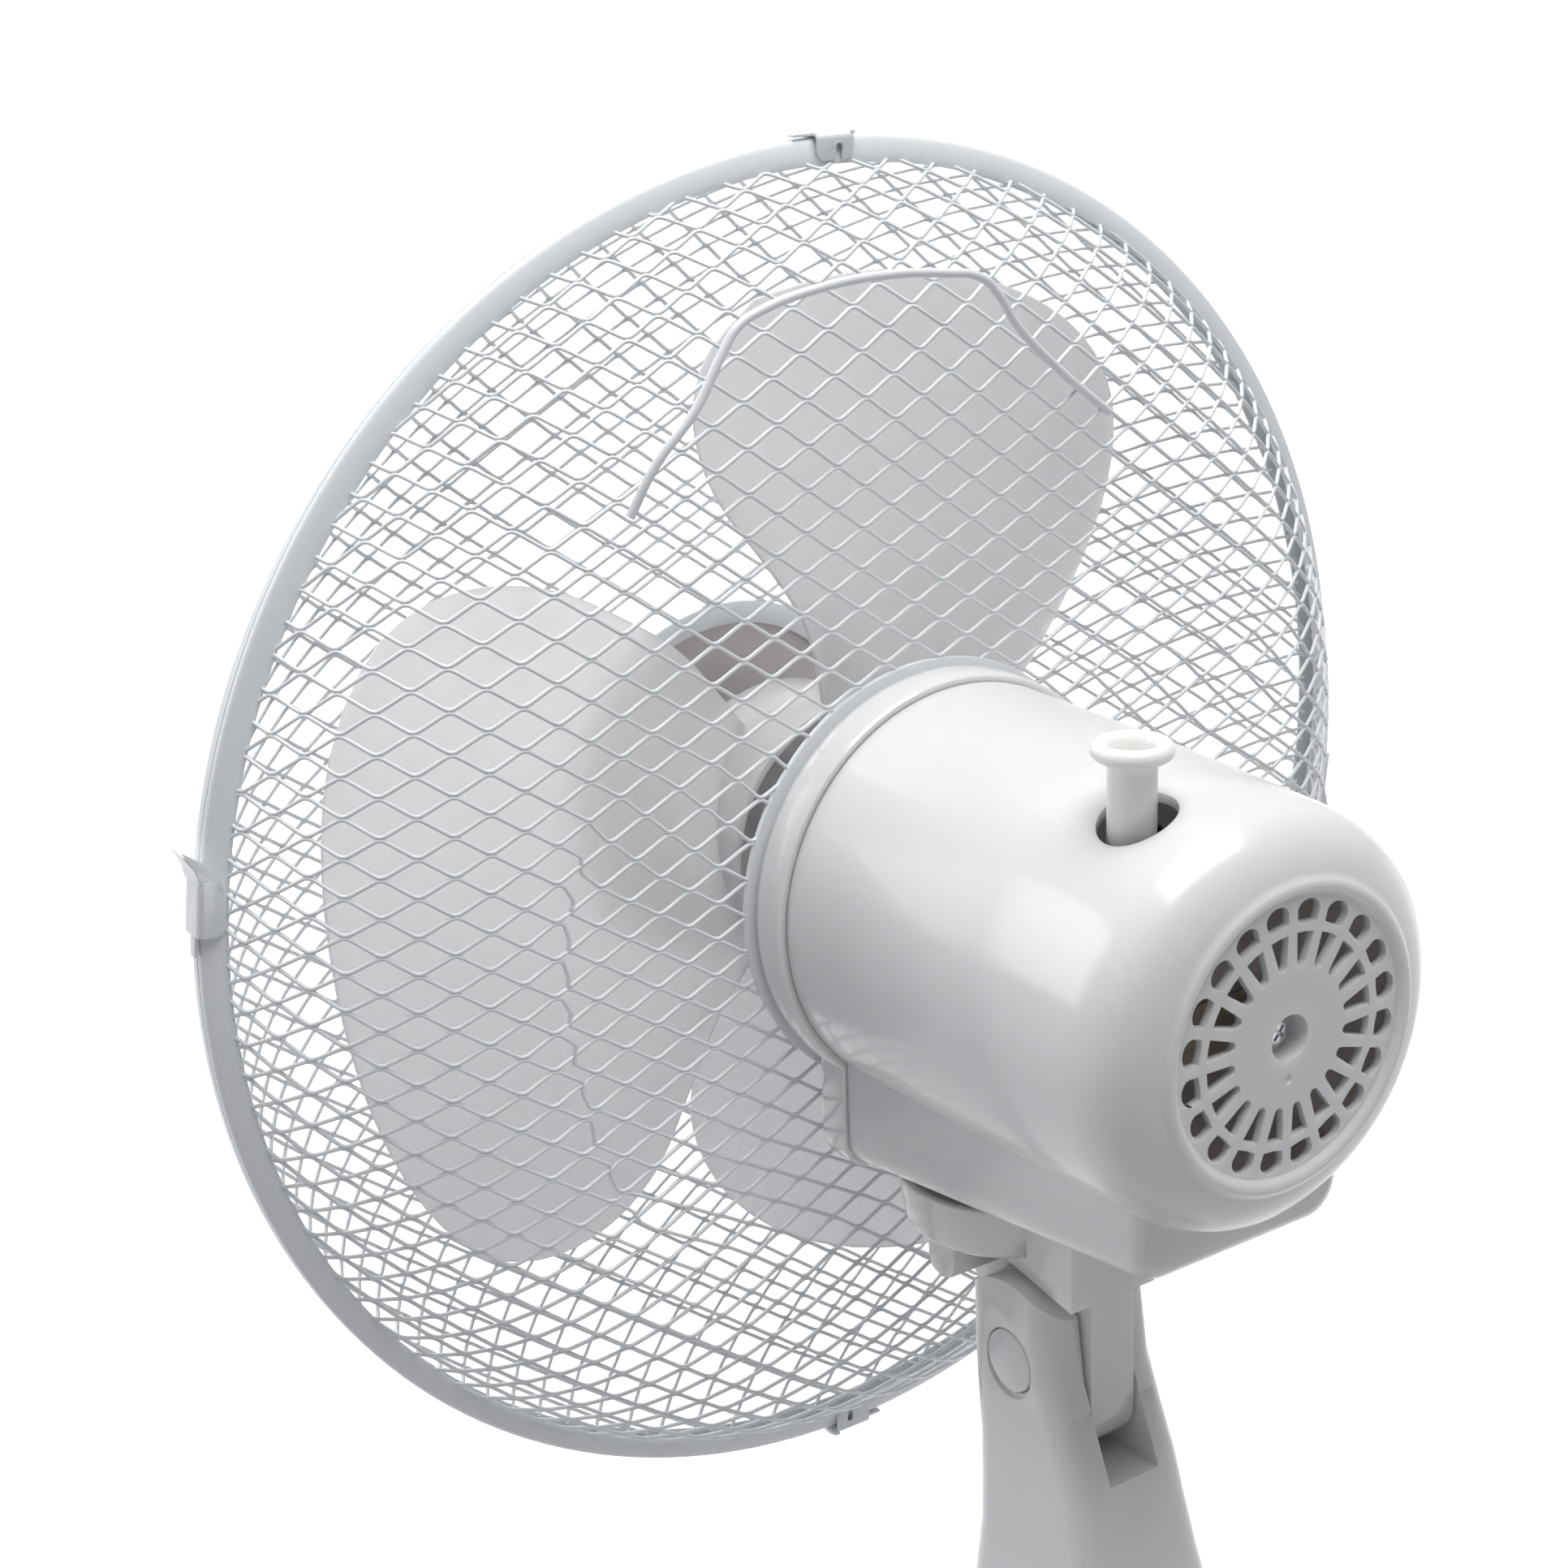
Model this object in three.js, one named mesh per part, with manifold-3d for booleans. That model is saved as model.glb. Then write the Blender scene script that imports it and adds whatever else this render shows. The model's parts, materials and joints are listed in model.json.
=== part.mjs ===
// Desk pedestal fan with an oscillating, tilting head.
// Units are millimetres, +Z up. The head faces -Y and its controls are at the front of the base.
import * as THREE from 'three';
import { mergeVertices } from 'three/addons/utils/BufferGeometryUtils.js';
import Module from 'manifold-3d';

const wasm = await Module();
wasm.setup();

// ---- Driving dimensions -------------------------------------------------------------------

// Clearances
const SEAT = 0.3; // gap left where two separate pieces bear on each other
const RUN = 0.1; // radial clearance of a faceted shaft in its bore
const LINK_PLAY = 0.75; // radial clearance at the open pivot of the oscillation linkage

// Places of the main groups
const HEAD_Y = -67; // plane between the two grille rims
const HEAD_Z = 322; // height of the fan axis
const BASE_Y = 11; // centre of the base
const SWIVEL_Y = 69; // swivel axis, behind the rim plane
const TILT_Y = 90; // tilt bolt, behind the rim plane
const TILT_Z = -107.5; // tilt bolt, below the fan axis

// Grille
const RIM_R = 175;
const RIM_WALL = 1;
const RIM_LIP = 5.7; // radial depth of the channel that grips the mesh
const RIM_DEPTH = 6.3;
const RIM_SPLIT = -3.5; // front edge of the rear rim
const MESH_T = 1.6;
const MESH_FIT = 0.7; // play between the edge of a mesh and the wall of its rim
const MESH_HEM = 5.3; // plain edge that the rim grips
const MESH_EDGE_R = RIM_R - RIM_WALL - MESH_FIT;
const MESH_EDGE_IN = MESH_EDGE_R - MESH_HEM;
const MESH_STRAND = 2.4;
const MESH_PITCH_X = 72; // four cells of the real mesh, which is too fine for solids
const MESH_PITCH_Z = 43.6;
const MESH_TURN = 7; // degrees that the rows of the mesh lean by
const REAR_DOME = 37.8; // depth of the flat of the rear dome behind its edge
const REAR_REACH = 57.5; // width of the curved part, from the flat to the edge
const REAR_FLAT_R = MESH_EDGE_IN - REAR_REACH;
const REAR_SHOULDER = 66;
const REAR_HUB_R = 46;
const REAR_HUB_OUT = 54.5;
const FRONT_DOME = 43.2;
const FRONT_REACH = 70;
const FRONT_FLAT_R = MESH_EDGE_IN - FRONT_REACH;
const FRONT_SHOULDER = 82;
const FRONT_HUB_R = 40;
const FRONT_HUB_OUT = 50;
const BADGE_R = 48.5;
const BADGE_T = 2;
const CLIP_W = 21;
const CLIP_T = 1;
const CLIP_EAR = 4.5;
const CLIP_LIP = 5;
// Angle about the fan axis, and the end of the strap that its ear is at
const CLIP_PLACES = [[7, 1], [91, -1], [187, 1], [271, -1]];
const WIRE_R = 1.5;

// Fan
const HUB_R = 37;
const HUB_NOSE_R = 34;
const HUB_WALL = 2;
const HUB_BACK = 8;
const HUB_FRONT = -30.5;
const BLADE_T = 1.8;
const BLADE_MID = -21.7;
const BLADE_RAKE = 0.12; // rise per unit along the blade
const BLADE_PITCH = -0.33; // rise per unit across the blade
const BLADE_COUNT = 3;
const BLADE_START = 5.6;
const NUT_R = 14;
const NUT_LEN = 11;

// Motor
const SHAFT_R = 4;
const SHAFT_FRONT = -40;
const STATOR_R = 40;
const STATOR_FRONT = 62;
const STATOR_LEN = 26;
const ROTOR_R = 22;
const AIR_GAP = 0.5;
const WINDING_R = 37;
const WINDING_LEN = 7.5;
const BRACKET_WALL = 2.4;
const BRACKET_WEB = 2.5;
const WINDOW_IN = 18; // air windows of the end brackets
const WINDOW_OUT = 32;
const WINDOW_W = 14;
const BRACKET_FRONT = 44;
const BRACKET_BACK = 101;
const BEARING_R = 7;
const BEARING_LEN = 8;

// Motor casing
const COVER_R = 53;
const COVER_FRONT = 39.6;
const COVER_PLATE = 2.2;
const SPLIT_Y = 51.3; // joint between the front cover and the rear shell
const SHELL_R = 51;
const SHELL_TAIL_R = 47.6;
const SHELL_WALL = 2.2;
const SHELL_BACK = 164.5;
const KEEL_COVER_W = 36; // half widths and depths of the keel below the round casing
const KEEL_W = 35;
const KEEL_TAIL_W = 30;
const KEEL_Z = -62.6;
const KEEL_TAIL_Z = -53.5;
const KEEL_BACK = 152;
const KEEL_CORNER = 8;
const KEEL_HOLE_R = 23.5;
const VENT_COUNT = 20;
const VENT_IN = [16, 23.8];
const VENT_OUT = [25.6, 30.6];
const VENT_RIB = 2.6;
const BEAD_R = 33.9;
const BEAD_H = 1;
const WELL_R = 4;
const WELL_FLOOR = 150.6;
const BOSS_R = 16; // threaded boss that carries the grille
const BOSS_LEN = 13.6;
const LOCK_R = 50;
const LOCK_T = 2.2;
const LOCK_HUB_R = 22;
const LOCK_HUB_LEN = 11;

// Oscillating gear
const CRANK_X = 18.5;
const CRANK_Y = 134.5;
const WORM_CORE = 3.6;
const WORM_R = 4.7;
const WORM_LEAD = 2.513;
const WORM_FROM = 126;
const WORM_TO = 142;
const WHEEL_TEETH = 36;
const WHEEL_R = 14.7;
const WHEEL_ROOT = 13.4;
const WHEEL_T = 4;
const SPINDLE_R = 3;
const SPINDLE_TOP = 32;
const CRANK_ARM_Z = -46.5;
const CRANK_ARM_T = 2.2;
const CRANK_THROW = 7;
const CRANK_ANGLE = 189.8;
const PIN_RADIUS = 10;
const PIN_ANGLE = 198.6;
const PIN_R = 1.5;
const LINK_Z = -49;
const LINK_T = 2;
const LINK_W = 4;
const LINK_BOW = 4.5;
const GEARBOX_WALL = 2.5;
const KNOB_R = 5.35;
const KNOB_LIP_R = 9;
const KNOB_LIP = 2;
const KNOB_LIP_Z = 60.6;
const KNOB_BOTTOM = 20;
const KNOB_HOLE_R = 8.7;
const KNOB_STROKE = 8;

// Neck
const DISH_R = 27.5;
const DISH_FOOT_R = 25.5;
const DISH_TOP = -64.2;
const DISH_FLOOR = -79;
const DISH_WALL = 2.2;
const SOCKET_R = 8;
const SOCKET_BOTTOM = -98;
const SWIVEL_R = 3.5;
const YOKE_T = 3;
const YOKE_Z = -43; // top face of the yoke plate
const NECK_W = 13;
const SADDLE_Z = -88; // lowest corner of the block, at its back
const TONGUE_W = 6.7;
const KNUCKLE_R = 18.5;
const NECK_BACK = TILT_Y + KNUCKLE_R;
const TONGUE_DROP = 5; // run of the tongue below the bolt before its foot turns in
const HEEL_R = 12; // round at the back of the tongue's foot
const BOLT_R = 3;
const CAP_R = 8;
const CAP_T = 2.2;
const CAP_FIT = 0.4;
const SCOOP_DEPTH = 0.9;
const SCOOP_DROP = 1.5;

// Column, as [height, half width, front, back] measured from the tilt bolt's plane
const COLUMN_SECTIONS = [
  [240, 16.8, -18.8, 13],
  [213, 17, -18.3, 17],
  [189, 17.5, -15.8, 26.8],
  [164, 18.5, -14.8, 34.5],
  [120, 24, -18, 48],
  [80, 33, -28, 57],
  [52, 43, -38, 62],
  [30, 50, -44, 65],
];
const COLUMN_CORNER = 8.5;
const COLUMN_WALL = 2.5;
const CUT_DEPTH = 5; // run of a cutter past the face that it opens
const CHEEK_R = 21;
const SLOT_W = TONGUE_W + 0.9;
const SLOT_R = KNUCKLE_R + 9.5;
const SLOT_RISE = 2.5; // rise of the slot's floor to its sill
const SLOT_BED = 10; // solid left under the slot
const CHEEK_SOLID = HEAD_Z + TILT_Z - SLOT_R - SLOT_BED; // the cheeks are solid above this

// Base
const BASE_R = 110;
const BASE_EDGE_Z = 4;
const BASE_TOP = 43;
const BASE_WALL = 2.5;
const PLATE_T = 2;
const PLATE_FIT = 0.8; // gap at the rim of the plate, where the cover leans in
const FOOT_R = 9;
const FOOT_H = 3;
const FOOT_CIRCLE = 88;
const KEY_COUNT = 4;
const KEY_W = 16;
const KEY_LEN = 24;
const KEY_GAP = 0.6;
const KEY_TRAVEL = 4;
const KEY_Y = -80;
const KEY_Z = 24;
const KEY_H = 16;
const SWITCH_TOP = 19;
const GLAND_R = 5;
const GLAND_BORE = 2.6;
const GLAND_Z = 14;

// Facets
const ROUND = 36;
const MEDIUM = 24;
const SMALL = 16;

// ---- Materials ----------------------------------------------------------------------------

const finish = (color, roughness, metalness = 0) =>
  new THREE.MeshStandardMaterial({ color, roughness, metalness });

const MATERIAL = {
  casing: finish(0xe9ebf0, 0.28),
  grille: finish(0xe4e8ef, 0.35),
  blade: finish(0xdcdfe4, 0.45),
  knob: finish(0xf2f1ec, 0.35),
  plate: finish(0xd5d8dc, 0.3, 0.9),
  steel: finish(0x9a9da1, 0.35, 1),
  lamination: finish(0x5c5f63, 0.5, 0.9),
  copper: finish(0x9c5a32, 0.4, 0.8),
  brass: finish(0xb89a55, 0.4, 1),
  gear: finish(0xd9d2b8, 0.5),
  board: finish(0x2c2d2f, 0.6),
  rubber: finish(0x4b4d50, 0.85),
};

// ---- Solid helpers ------------------------------------------------------------------------

const rad = THREE.MathUtils.degToRad;
const vec = (x, y, z) => new THREE.Vector3(x, y, z);
const polar = (r, angle) => [r * Math.cos(rad(angle)), r * Math.sin(rad(angle))];

function signedVolume(geometry) {
  const p = geometry.attributes.position;
  const index = geometry.index;
  const a = vec();
  const b = vec();
  const c = vec();
  let sum = 0;
  for (let i = 0; i < index.count; i += 3) {
    a.fromBufferAttribute(p, index.getX(i));
    b.fromBufferAttribute(p, index.getX(i + 1));
    c.fromBufferAttribute(p, index.getX(i + 2));
    sum += a.dot(b.cross(c));
  }
  return sum / 6;
}

// One closed surface: shared corners, no sliver faces, faces pointing out.
function closed(source) {
  const bare = source.clone();
  bare.deleteAttribute('uv');
  bare.deleteAttribute('normal');
  const merged = mergeVertices(bare, 1e-4);
  const kept = [];
  for (let i = 0; i < merged.index.count; i += 3) {
    const [a, b, c] = [0, 1, 2].map((k) => merged.index.getX(i + k));
    if (a !== b && b !== c && c !== a) kept.push(a, b, c);
  }
  merged.setIndex(kept);
  if (signedVolume(merged) < 0) merged.setIndex(kept.reverse());
  return merged;
}

function toSolid(geometry) {
  const g = closed(geometry);
  const mesh = new wasm.Mesh({
    numProp: 3,
    vertProperties: new Float32Array(g.attributes.position.array),
    triVerts: new Uint32Array(g.index.array),
  });
  return new wasm.Manifold(mesh);
}

function toGeometry(solid) {
  const mesh = solid.getMesh();
  const g = new THREE.BufferGeometry();
  g.setAttribute('position', new THREE.BufferAttribute(new Float32Array(mesh.vertProperties), 3));
  g.setIndex([...mesh.triVerts]);
  return g;
}

function join(first, ...others) {
  return toGeometry(others.reduce((sum, g) => sum.add(toSolid(g)), toSolid(first)));
}

function cut(body, ...tools) {
  return toGeometry(tools.reduce((rest, g) => rest.subtract(toSolid(g)), toSolid(body)));
}

function common(a, b) {
  return toGeometry(toSolid(a).intersect(toSolid(b)));
}

// Revolves about the fan axis; each profile point is [radius, y].
function turned(profile, segments) {
  const points = profile.map(([r, y]) => new THREE.Vector2(r, y));
  return new THREE.LatheGeometry(points, segments);
}

function ringTurned(profile, segments) {
  return turned([...profile, profile[0]], segments);
}

// Revolves about a vertical axis; each profile point is [radius, z].
function upright(profile, segments, x = 0, y = 0) {
  const g = turned(profile, segments);
  g.rotateX(Math.PI / 2);
  g.translate(x, y, 0);
  return g;
}

function drum(r, y0, y1, segments) {
  return turned([[0, y0], [r, y0], [r, y1], [0, y1]], segments);
}

function post(r, z0, z1, segments, x = 0, y = 0) {
  return upright([[0, z0], [r, z0], [r, z1], [0, z1]], segments, x, y);
}

function crossPin(r, x0, x1, y, z, segments) {
  const g = new THREE.CylinderGeometry(r, r, x1 - x0, segments);
  g.rotateZ(Math.PI / 2);
  g.translate((x0 + x1) / 2, y, z);
  return g;
}

function block(x0, x1, y0, y1, z0, z1) {
  const g = new THREE.BoxGeometry(x1 - x0, y1 - y0, z1 - z0);
  g.translate((x0 + x1) / 2, (y0 + y1) / 2, (z0 + z1) / 2);
  return g;
}

// Extrudes an outline of [y, z] points along X.
function sideProfile(points, x0, x1) {
  const shape = new THREE.Shape(points.map(([y, z]) => new THREE.Vector2(y, z)));
  const g = new THREE.ExtrudeGeometry(shape, { depth: x1 - x0, bevelEnabled: false });
  g.applyMatrix4(new THREE.Matrix4().makeBasis(vec(0, 1, 0), vec(0, 0, 1), vec(1, 0, 0)));
  g.translate(x0, 0, 0);
  return g;
}

// Extrudes an outline of [x, y] points along Z.
function planProfile(points, z0, z1) {
  const shape = new THREE.Shape(points.map(([x, y]) => new THREE.Vector2(x, y)));
  const g = new THREE.ExtrudeGeometry(shape, { depth: z1 - z0, bevelEnabled: false });
  g.translate(0, 0, z0);
  return g;
}

// Extrudes an outline of [x, z] points along Y.
function faceProfile(points, y0, y1) {
  const shape = new THREE.Shape(points.map(([x, z]) => new THREE.Vector2(x, -z)));
  const g = new THREE.ExtrudeGeometry(shape, { depth: y1 - y0, bevelEnabled: false });
  g.rotateX(-Math.PI / 2);
  g.translate(0, y0, 0);
  return g;
}

function arc(cx, cy, r, from, to, steps) {
  return Array.from({ length: steps + 1 }, (_, i) => {
    const [x, y] = polar(r, from + ((to - from) * i) / steps);
    return [cx + x, cy + y];
  });
}

// Skins a stack of closed sections, each a list of Vector3, and caps both ends.
function loft(sections) {
  const n = sections[0].length;
  const positions = sections.flat().flatMap((v) => [v.x, v.y, v.z]);
  const index = [];
  for (let s = 0; s + 1 < sections.length; s += 1) {
    for (let i = 0; i < n; i += 1) {
      const j = (i + 1) % n;
      const a = s * n + i;
      const b = s * n + j;
      index.push(a, b, b + n, a, b + n, a + n);
    }
  }
  const last = (sections.length - 1) * n;
  for (let i = 1; i + 1 < n; i += 1) {
    index.push(0, i + 1, i);
    index.push(last, last + i, last + i + 1);
  }
  const g = new THREE.BufferGeometry();
  g.setAttribute('position', new THREE.Float32BufferAttribute(positions, 3));
  g.setIndex(index);
  return g;
}

function piece(group, name, geometry, material) {
  const g = closed(geometry);
  g.computeVertexNormals();
  const mesh = new THREE.Mesh(g, material);
  mesh.name = name;
  group.add(mesh);
}

// ---- Grille -------------------------------------------------------------------------------

// Height of a dished grille above its edge: flat in the middle, round shoulder, flat edge.
function domeHeight(r, rise, flatR, shoulder) {
  if (r >= MESH_EDGE_IN) return 0;
  const over = Math.max(0, r - flatR);
  const height = rise - shoulder + Math.sqrt(shoulder ** 2 - over ** 2);
  const hem = Math.min(1, (MESH_EDGE_IN - r) / 4);
  return height * hem;
}

function domeNormal(r, rise, flatR, shoulder) {
  const step = 0.5;
  const slope =
    (domeHeight(r + step, rise, flatR, shoulder) - domeHeight(r - step, rise, flatR, shoulder)) /
    (2 * step);
  const inside = r < MESH_EDGE_IN - 4;
  const length = Math.hypot(1, slope);
  return inside ? [-slope / length, 1 / length] : [0, 1];
}

function meshHoles(innerR) {
  const halfX = MESH_PITCH_X / 2;
  const halfZ = MESH_PITCH_Z / 2;
  const spacing = (halfX * halfZ) / Math.hypot(halfX, halfZ);
  const open = 1 - MESH_STRAND / (2 * spacing);
  const columns = Math.ceil(MESH_EDGE_IN / halfX);
  const rows = Math.ceil(MESH_EDGE_IN / halfZ);
  const turn = THREE.MathUtils.degToRad(MESH_TURN);
  const leaned = (x, z) => [
    x * Math.cos(turn) - z * Math.sin(turn),
    x * Math.sin(turn) + z * Math.cos(turn),
  ];
  const holes = [];
  for (let i = -columns; i <= columns; i += 1) {
    for (let j = -rows; j <= rows; j += 1) {
      if ((i + j) % 2 !== 0) continue;
      const x = i * halfX;
      const z = j * halfZ;
      const r = Math.hypot(x, z);
      if (r > MESH_EDGE_IN + halfX || r < innerR - halfX) continue;
      const dx = halfX * open;
      const dz = halfZ * open;
      holes.push([leaned(x - dx, z), leaned(x, z - dz), leaned(x + dx, z), leaned(x, z + dz)]);
    }
  }
  return holes;
}

// Expanded metal: an annulus slab pierced by diamonds and dished, with plain rings at its edges.
function expandedMesh(hubR, hubOut, rise, flatR, shoulder, edgeY, side) {
  const depth = 10;
  const slab = toSolid(faceRing(hubOut - 1, MESH_EDGE_IN + 1, 0, 1));
  const field = toSolid(faceRing(hubOut, MESH_EDGE_IN, -depth, depth));
  const diamonds = meshHoles(hubOut).map((hole) => toSolid(faceProfile(hole, -depth, depth)));
  const holes = diamonds
    .reduce((sum, hole) => sum.add(hole))
    .intersect(field);
  const flat = toGeometry(slab.subtract(holes));
  const p = flat.attributes.position;
  for (let i = 0; i < p.count; i += 1) {
    const x = p.getX(i);
    const z = p.getZ(i);
    const r = Math.hypot(x, z);
    const offset = (p.getY(i) - 0.5) * MESH_T;
    const [nr, ny] = domeNormal(r, rise, flatR, shoulder);
    const k = (r + nr * offset) / r;
    const y = domeHeight(r, rise, flatR, shoulder) + ny * offset;
    p.setXYZ(i, x * k, edgeY + side * y, z * k);
  }
  const hubY = edgeY + side * rise;
  const half = MESH_T / 2;
  return join(
    flat,
    faceRing(hubR, hubOut, hubY - half, hubY + half),
    faceRing(MESH_EDGE_IN, MESH_EDGE_R, edgeY - half, edgeY + half),
  );
}

function faceRing(r0, r1, y0, y1) {
  return ringTurned([[r0, y0], [r1, y0], [r1, y1], [r0, y1]], ROUND);
}

// Channel section that grips the edge of a mesh; `front` is its front edge.
function rimRing(front) {
  const back = front + RIM_DEPTH;
  const lip = RIM_R - RIM_LIP;
  const wall = RIM_R - RIM_WALL;
  const profile = [
    [lip, back],
    [RIM_R, back],
    [RIM_R, front],
    [lip, front],
    [lip, front + RIM_WALL],
    [wall, front + RIM_WALL],
    [wall, back - RIM_WALL],
    [lip, back - RIM_WALL],
  ];
  return ringTurned(profile, ROUND);
}

const REAR_EDGE_Y = RIM_SPLIT + RIM_DEPTH - RIM_WALL - SEAT - MESH_T / 2;
const FRONT_RIM_Y = RIM_SPLIT - SEAT - RIM_DEPTH;
const FRONT_EDGE_Y = FRONT_RIM_Y + RIM_WALL + SEAT + MESH_T / 2;
const REAR_FLAT_Y = REAR_EDGE_Y + REAR_DOME;

function rearGrille() {
  return expandedMesh(
    REAR_HUB_R, REAR_HUB_OUT, REAR_DOME, REAR_FLAT_R, REAR_SHOULDER, REAR_EDGE_Y, 1,
  );
}

function frontGrille() {
  return expandedMesh(
    FRONT_HUB_R, FRONT_HUB_OUT, FRONT_DOME, FRONT_FLAT_R, FRONT_SHOULDER, FRONT_EDGE_Y, -1,
  );
}

function badgePlate() {
  const front = FRONT_EDGE_Y - FRONT_DOME - MESH_T / 2 - SEAT;
  const profile = [
    [0, front],
    [BADGE_R, front],
    [BADGE_R, front - BADGE_T * 0.5],
    [BADGE_R - 2, front - BADGE_T],
    [0, front - BADGE_T],
  ];
  return turned(profile, ROUND);
}

// Spring strap over both rims with a lifted ear at one end, drawn at the top of the grille.
// The ear is at the -X end where `side` is 1.
function clip(side) {
  const inner = RIM_R + SEAT;
  const outer = inner + CLIP_T;
  const back = RIM_SPLIT + RIM_DEPTH + SEAT;
  const front = FRONT_RIM_Y - SEAT;
  const half = CLIP_W / 2;
  const strap = [
    [half, inner],
    [half, outer],
    [-half, outer],
    [-half - CLIP_EAR * 0.5, outer + CLIP_EAR * 0.35],
    [-half - CLIP_EAR, outer + CLIP_EAR],
    [-half - CLIP_EAR - CLIP_T, outer + CLIP_EAR - 0.4],
    [-half - CLIP_EAR * 0.6, outer + CLIP_EAR * 0.05],
    [-half, inner],
  ].map(([x, z]) => [side * x, z]);
  const band = faceProfile(strap, front - CLIP_T, back + CLIP_T);
  const lipIn = outer - CLIP_LIP;
  const rear = block(-half, half, back, back + CLIP_T, lipIn, outer - CLIP_T / 2);
  const fore = block(-half, half, front - CLIP_T, front, lipIn, outer - CLIP_T / 2);
  return join(band, rear, fore);
}

// Wire hoop across the top of the rear grille, both feet on the mesh.
function handle() {
  const flat = REAR_FLAT_Y + MESH_T / 2 + SEAT + WIRE_R;
  const lie = (x, z) => {
    const r = Math.hypot(x, z);
    const drop = REAR_DOME - domeHeight(r, REAR_DOME, REAR_FLAT_R, REAR_SHOULDER);
    return vec(x, flat - drop - 0.5, z);
  };
  const path = new THREE.CatmullRomCurve3([
    lie(78.9, 102.7),
    lie(74.2, 111.5),
    vec(64.3, flat - 0.4, 123.2),
    vec(59.5, flat, 129.2),
    vec(55.8, flat, 135.1),
    vec(52.6, flat, 140),
    vec(48.5, flat, 142.8),
    vec(36.6, flat, 145.9),
    vec(21.3, flat, 147.7),
    vec(5.6, flat, 147.7),
    vec(-10.5, flat, 145.9),
    vec(-18.1, flat, 143.7),
    vec(-21.6, flat, 141),
    vec(-25.7, flat, 134.1),
    vec(-31.4, flat - 0.4, 127.7),
    lie(-43.9, 117.8),
    lie(-58.9, 106.4),
  ]);
  const section = new THREE.Shape(
    Array.from({ length: 6 }, (_, i) => new THREE.Vector2(...polar(WIRE_R, i * 60))),
  );
  return new THREE.ExtrudeGeometry(section, { steps: 24, extrudePath: path });
}

// ---- Fan ----------------------------------------------------------------------------------

function hub() {
  const nose = HUB_FRONT + HUB_WALL;
  const bore = SHAFT_R + SEAT;
  const profile = [
    [bore, HUB_FRONT],
    [HUB_NOSE_R - 3, HUB_FRONT],
    [HUB_NOSE_R - 0.8, HUB_FRONT + 1],
    [HUB_NOSE_R, HUB_FRONT + 3],
    [HUB_R, HUB_BACK],
    [HUB_R - HUB_WALL, HUB_BACK],
    [HUB_NOSE_R - HUB_WALL, nose + 1.5],
    [bore + 4.5, nose],
    [bore + 4.5, -4],
    [bore, -4],
  ];
  return ringTurned(profile, 30);
}

// Blade outline seen from the front: angle of the leading and trailing edges at each radius.
const BLADE_ROOT = HUB_NOSE_R - HUB_WALL / 2;
const BLADE_ROWS = [
  [BLADE_ROOT, -50, 56],
  [60, -50, 54.5],
  [90, -56, 44],
  [110, -55, 36],
  [129, -49.5, 25],
];
const BLADE_TIP = [
  [-43, 137.5], [-30, 142.2], [-15, 143.5], [2, 142.8], [17, 137.4],
];

function bladePoint(r, angle) {
  const [u, v] = polar(r, angle);
  const camber = 3.2 * (1 - ((v + 12) / 78) ** 2) * Math.min(1, (r - BLADE_ROOT) / 60);
  return [u, v, BLADE_MID + BLADE_RAKE * u + BLADE_PITCH * v - camber];
}

function blade(turn) {
  const across = BLADE_TIP.length;
  const rows = BLADE_ROWS.map(([r, from, to]) =>
    BLADE_TIP.map((_, i) => bladePoint(r, from + ((to - from) * i) / (across - 1))),
  );
  rows.push(BLADE_TIP.map(([angle, r]) => bladePoint(r, angle)));
  const [c, s] = polar(1, turn);
  const sections = rows.map((row) => {
    const place = ([u, v, y], lift) => vec(c * u - s * v, y + lift, s * u + c * v);
    const front = row.map((point) => place(point, -BLADE_T / 2));
    const back = row.map((point) => place(point, BLADE_T / 2)).reverse();
    return [...front, ...back];
  });
  return gridBody(sections, across);
}

// Skins a blade: each section holds `across` front points, then the same points of the back.
function gridBody(sections, across) {
  const body = loft(sections);
  const wall = body.index.array.slice(0, (sections.length - 1) * across * 2 * 6);
  const index = [...wall];
  const last = (sections.length - 1) * across * 2;
  for (let i = 0; i + 1 < across; i += 1) {
    const a = i;
    const b = i + 1;
    const c = 2 * across - 1 - b;
    const d = 2 * across - 1 - a;
    index.push(a, c, b, a, d, c);
    index.push(last + a, last + b, last + c, last + a, last + c, last + d);
  }
  body.setIndex(index);
  return body;
}

function fan() {
  const turns = Array.from({ length: BLADE_COUNT }, (_, i) => BLADE_START + (i * 360) / BLADE_COUNT);
  return join(hub(), ...turns.map(blade));
}

function bladeNut() {
  const back = HUB_FRONT - SEAT;
  const body = turned(
    [
      [0, back],
      [NUT_R, back],
      [NUT_R, back - 2.5],
      [NUT_R - 3, back - 3.5],
      [NUT_R - 5, back - NUT_LEN],
      [0, back - NUT_LEN],
    ],
    MEDIUM,
  );
  const wings = [0, 90].map((turn) => {
    const bar = block(-NUT_R + 1, NUT_R - 1, back - NUT_LEN + 1, back - 2, -1.2, 1.2);
    bar.rotateY(rad(turn));
    return bar;
  });
  return cut(join(body, ...wings), drum(SHAFT_R + SEAT, SHAFT_FRONT - SEAT, back + 1, SMALL));
}

// ---- Motor --------------------------------------------------------------------------------

const ROTOR_FRONT = STATOR_FRONT;
const WORM_SHAFT_R = 2.5;

function motorShaft() {
  return turned(
    [
      [0, SHAFT_FRONT],
      [SHAFT_R, SHAFT_FRONT],
      [SHAFT_R, BRACKET_BACK],
      [WORM_SHAFT_R, BRACKET_BACK],
      [WORM_SHAFT_R, WORM_TO],
      [0, WORM_TO],
    ],
    SMALL,
  );
}

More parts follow.
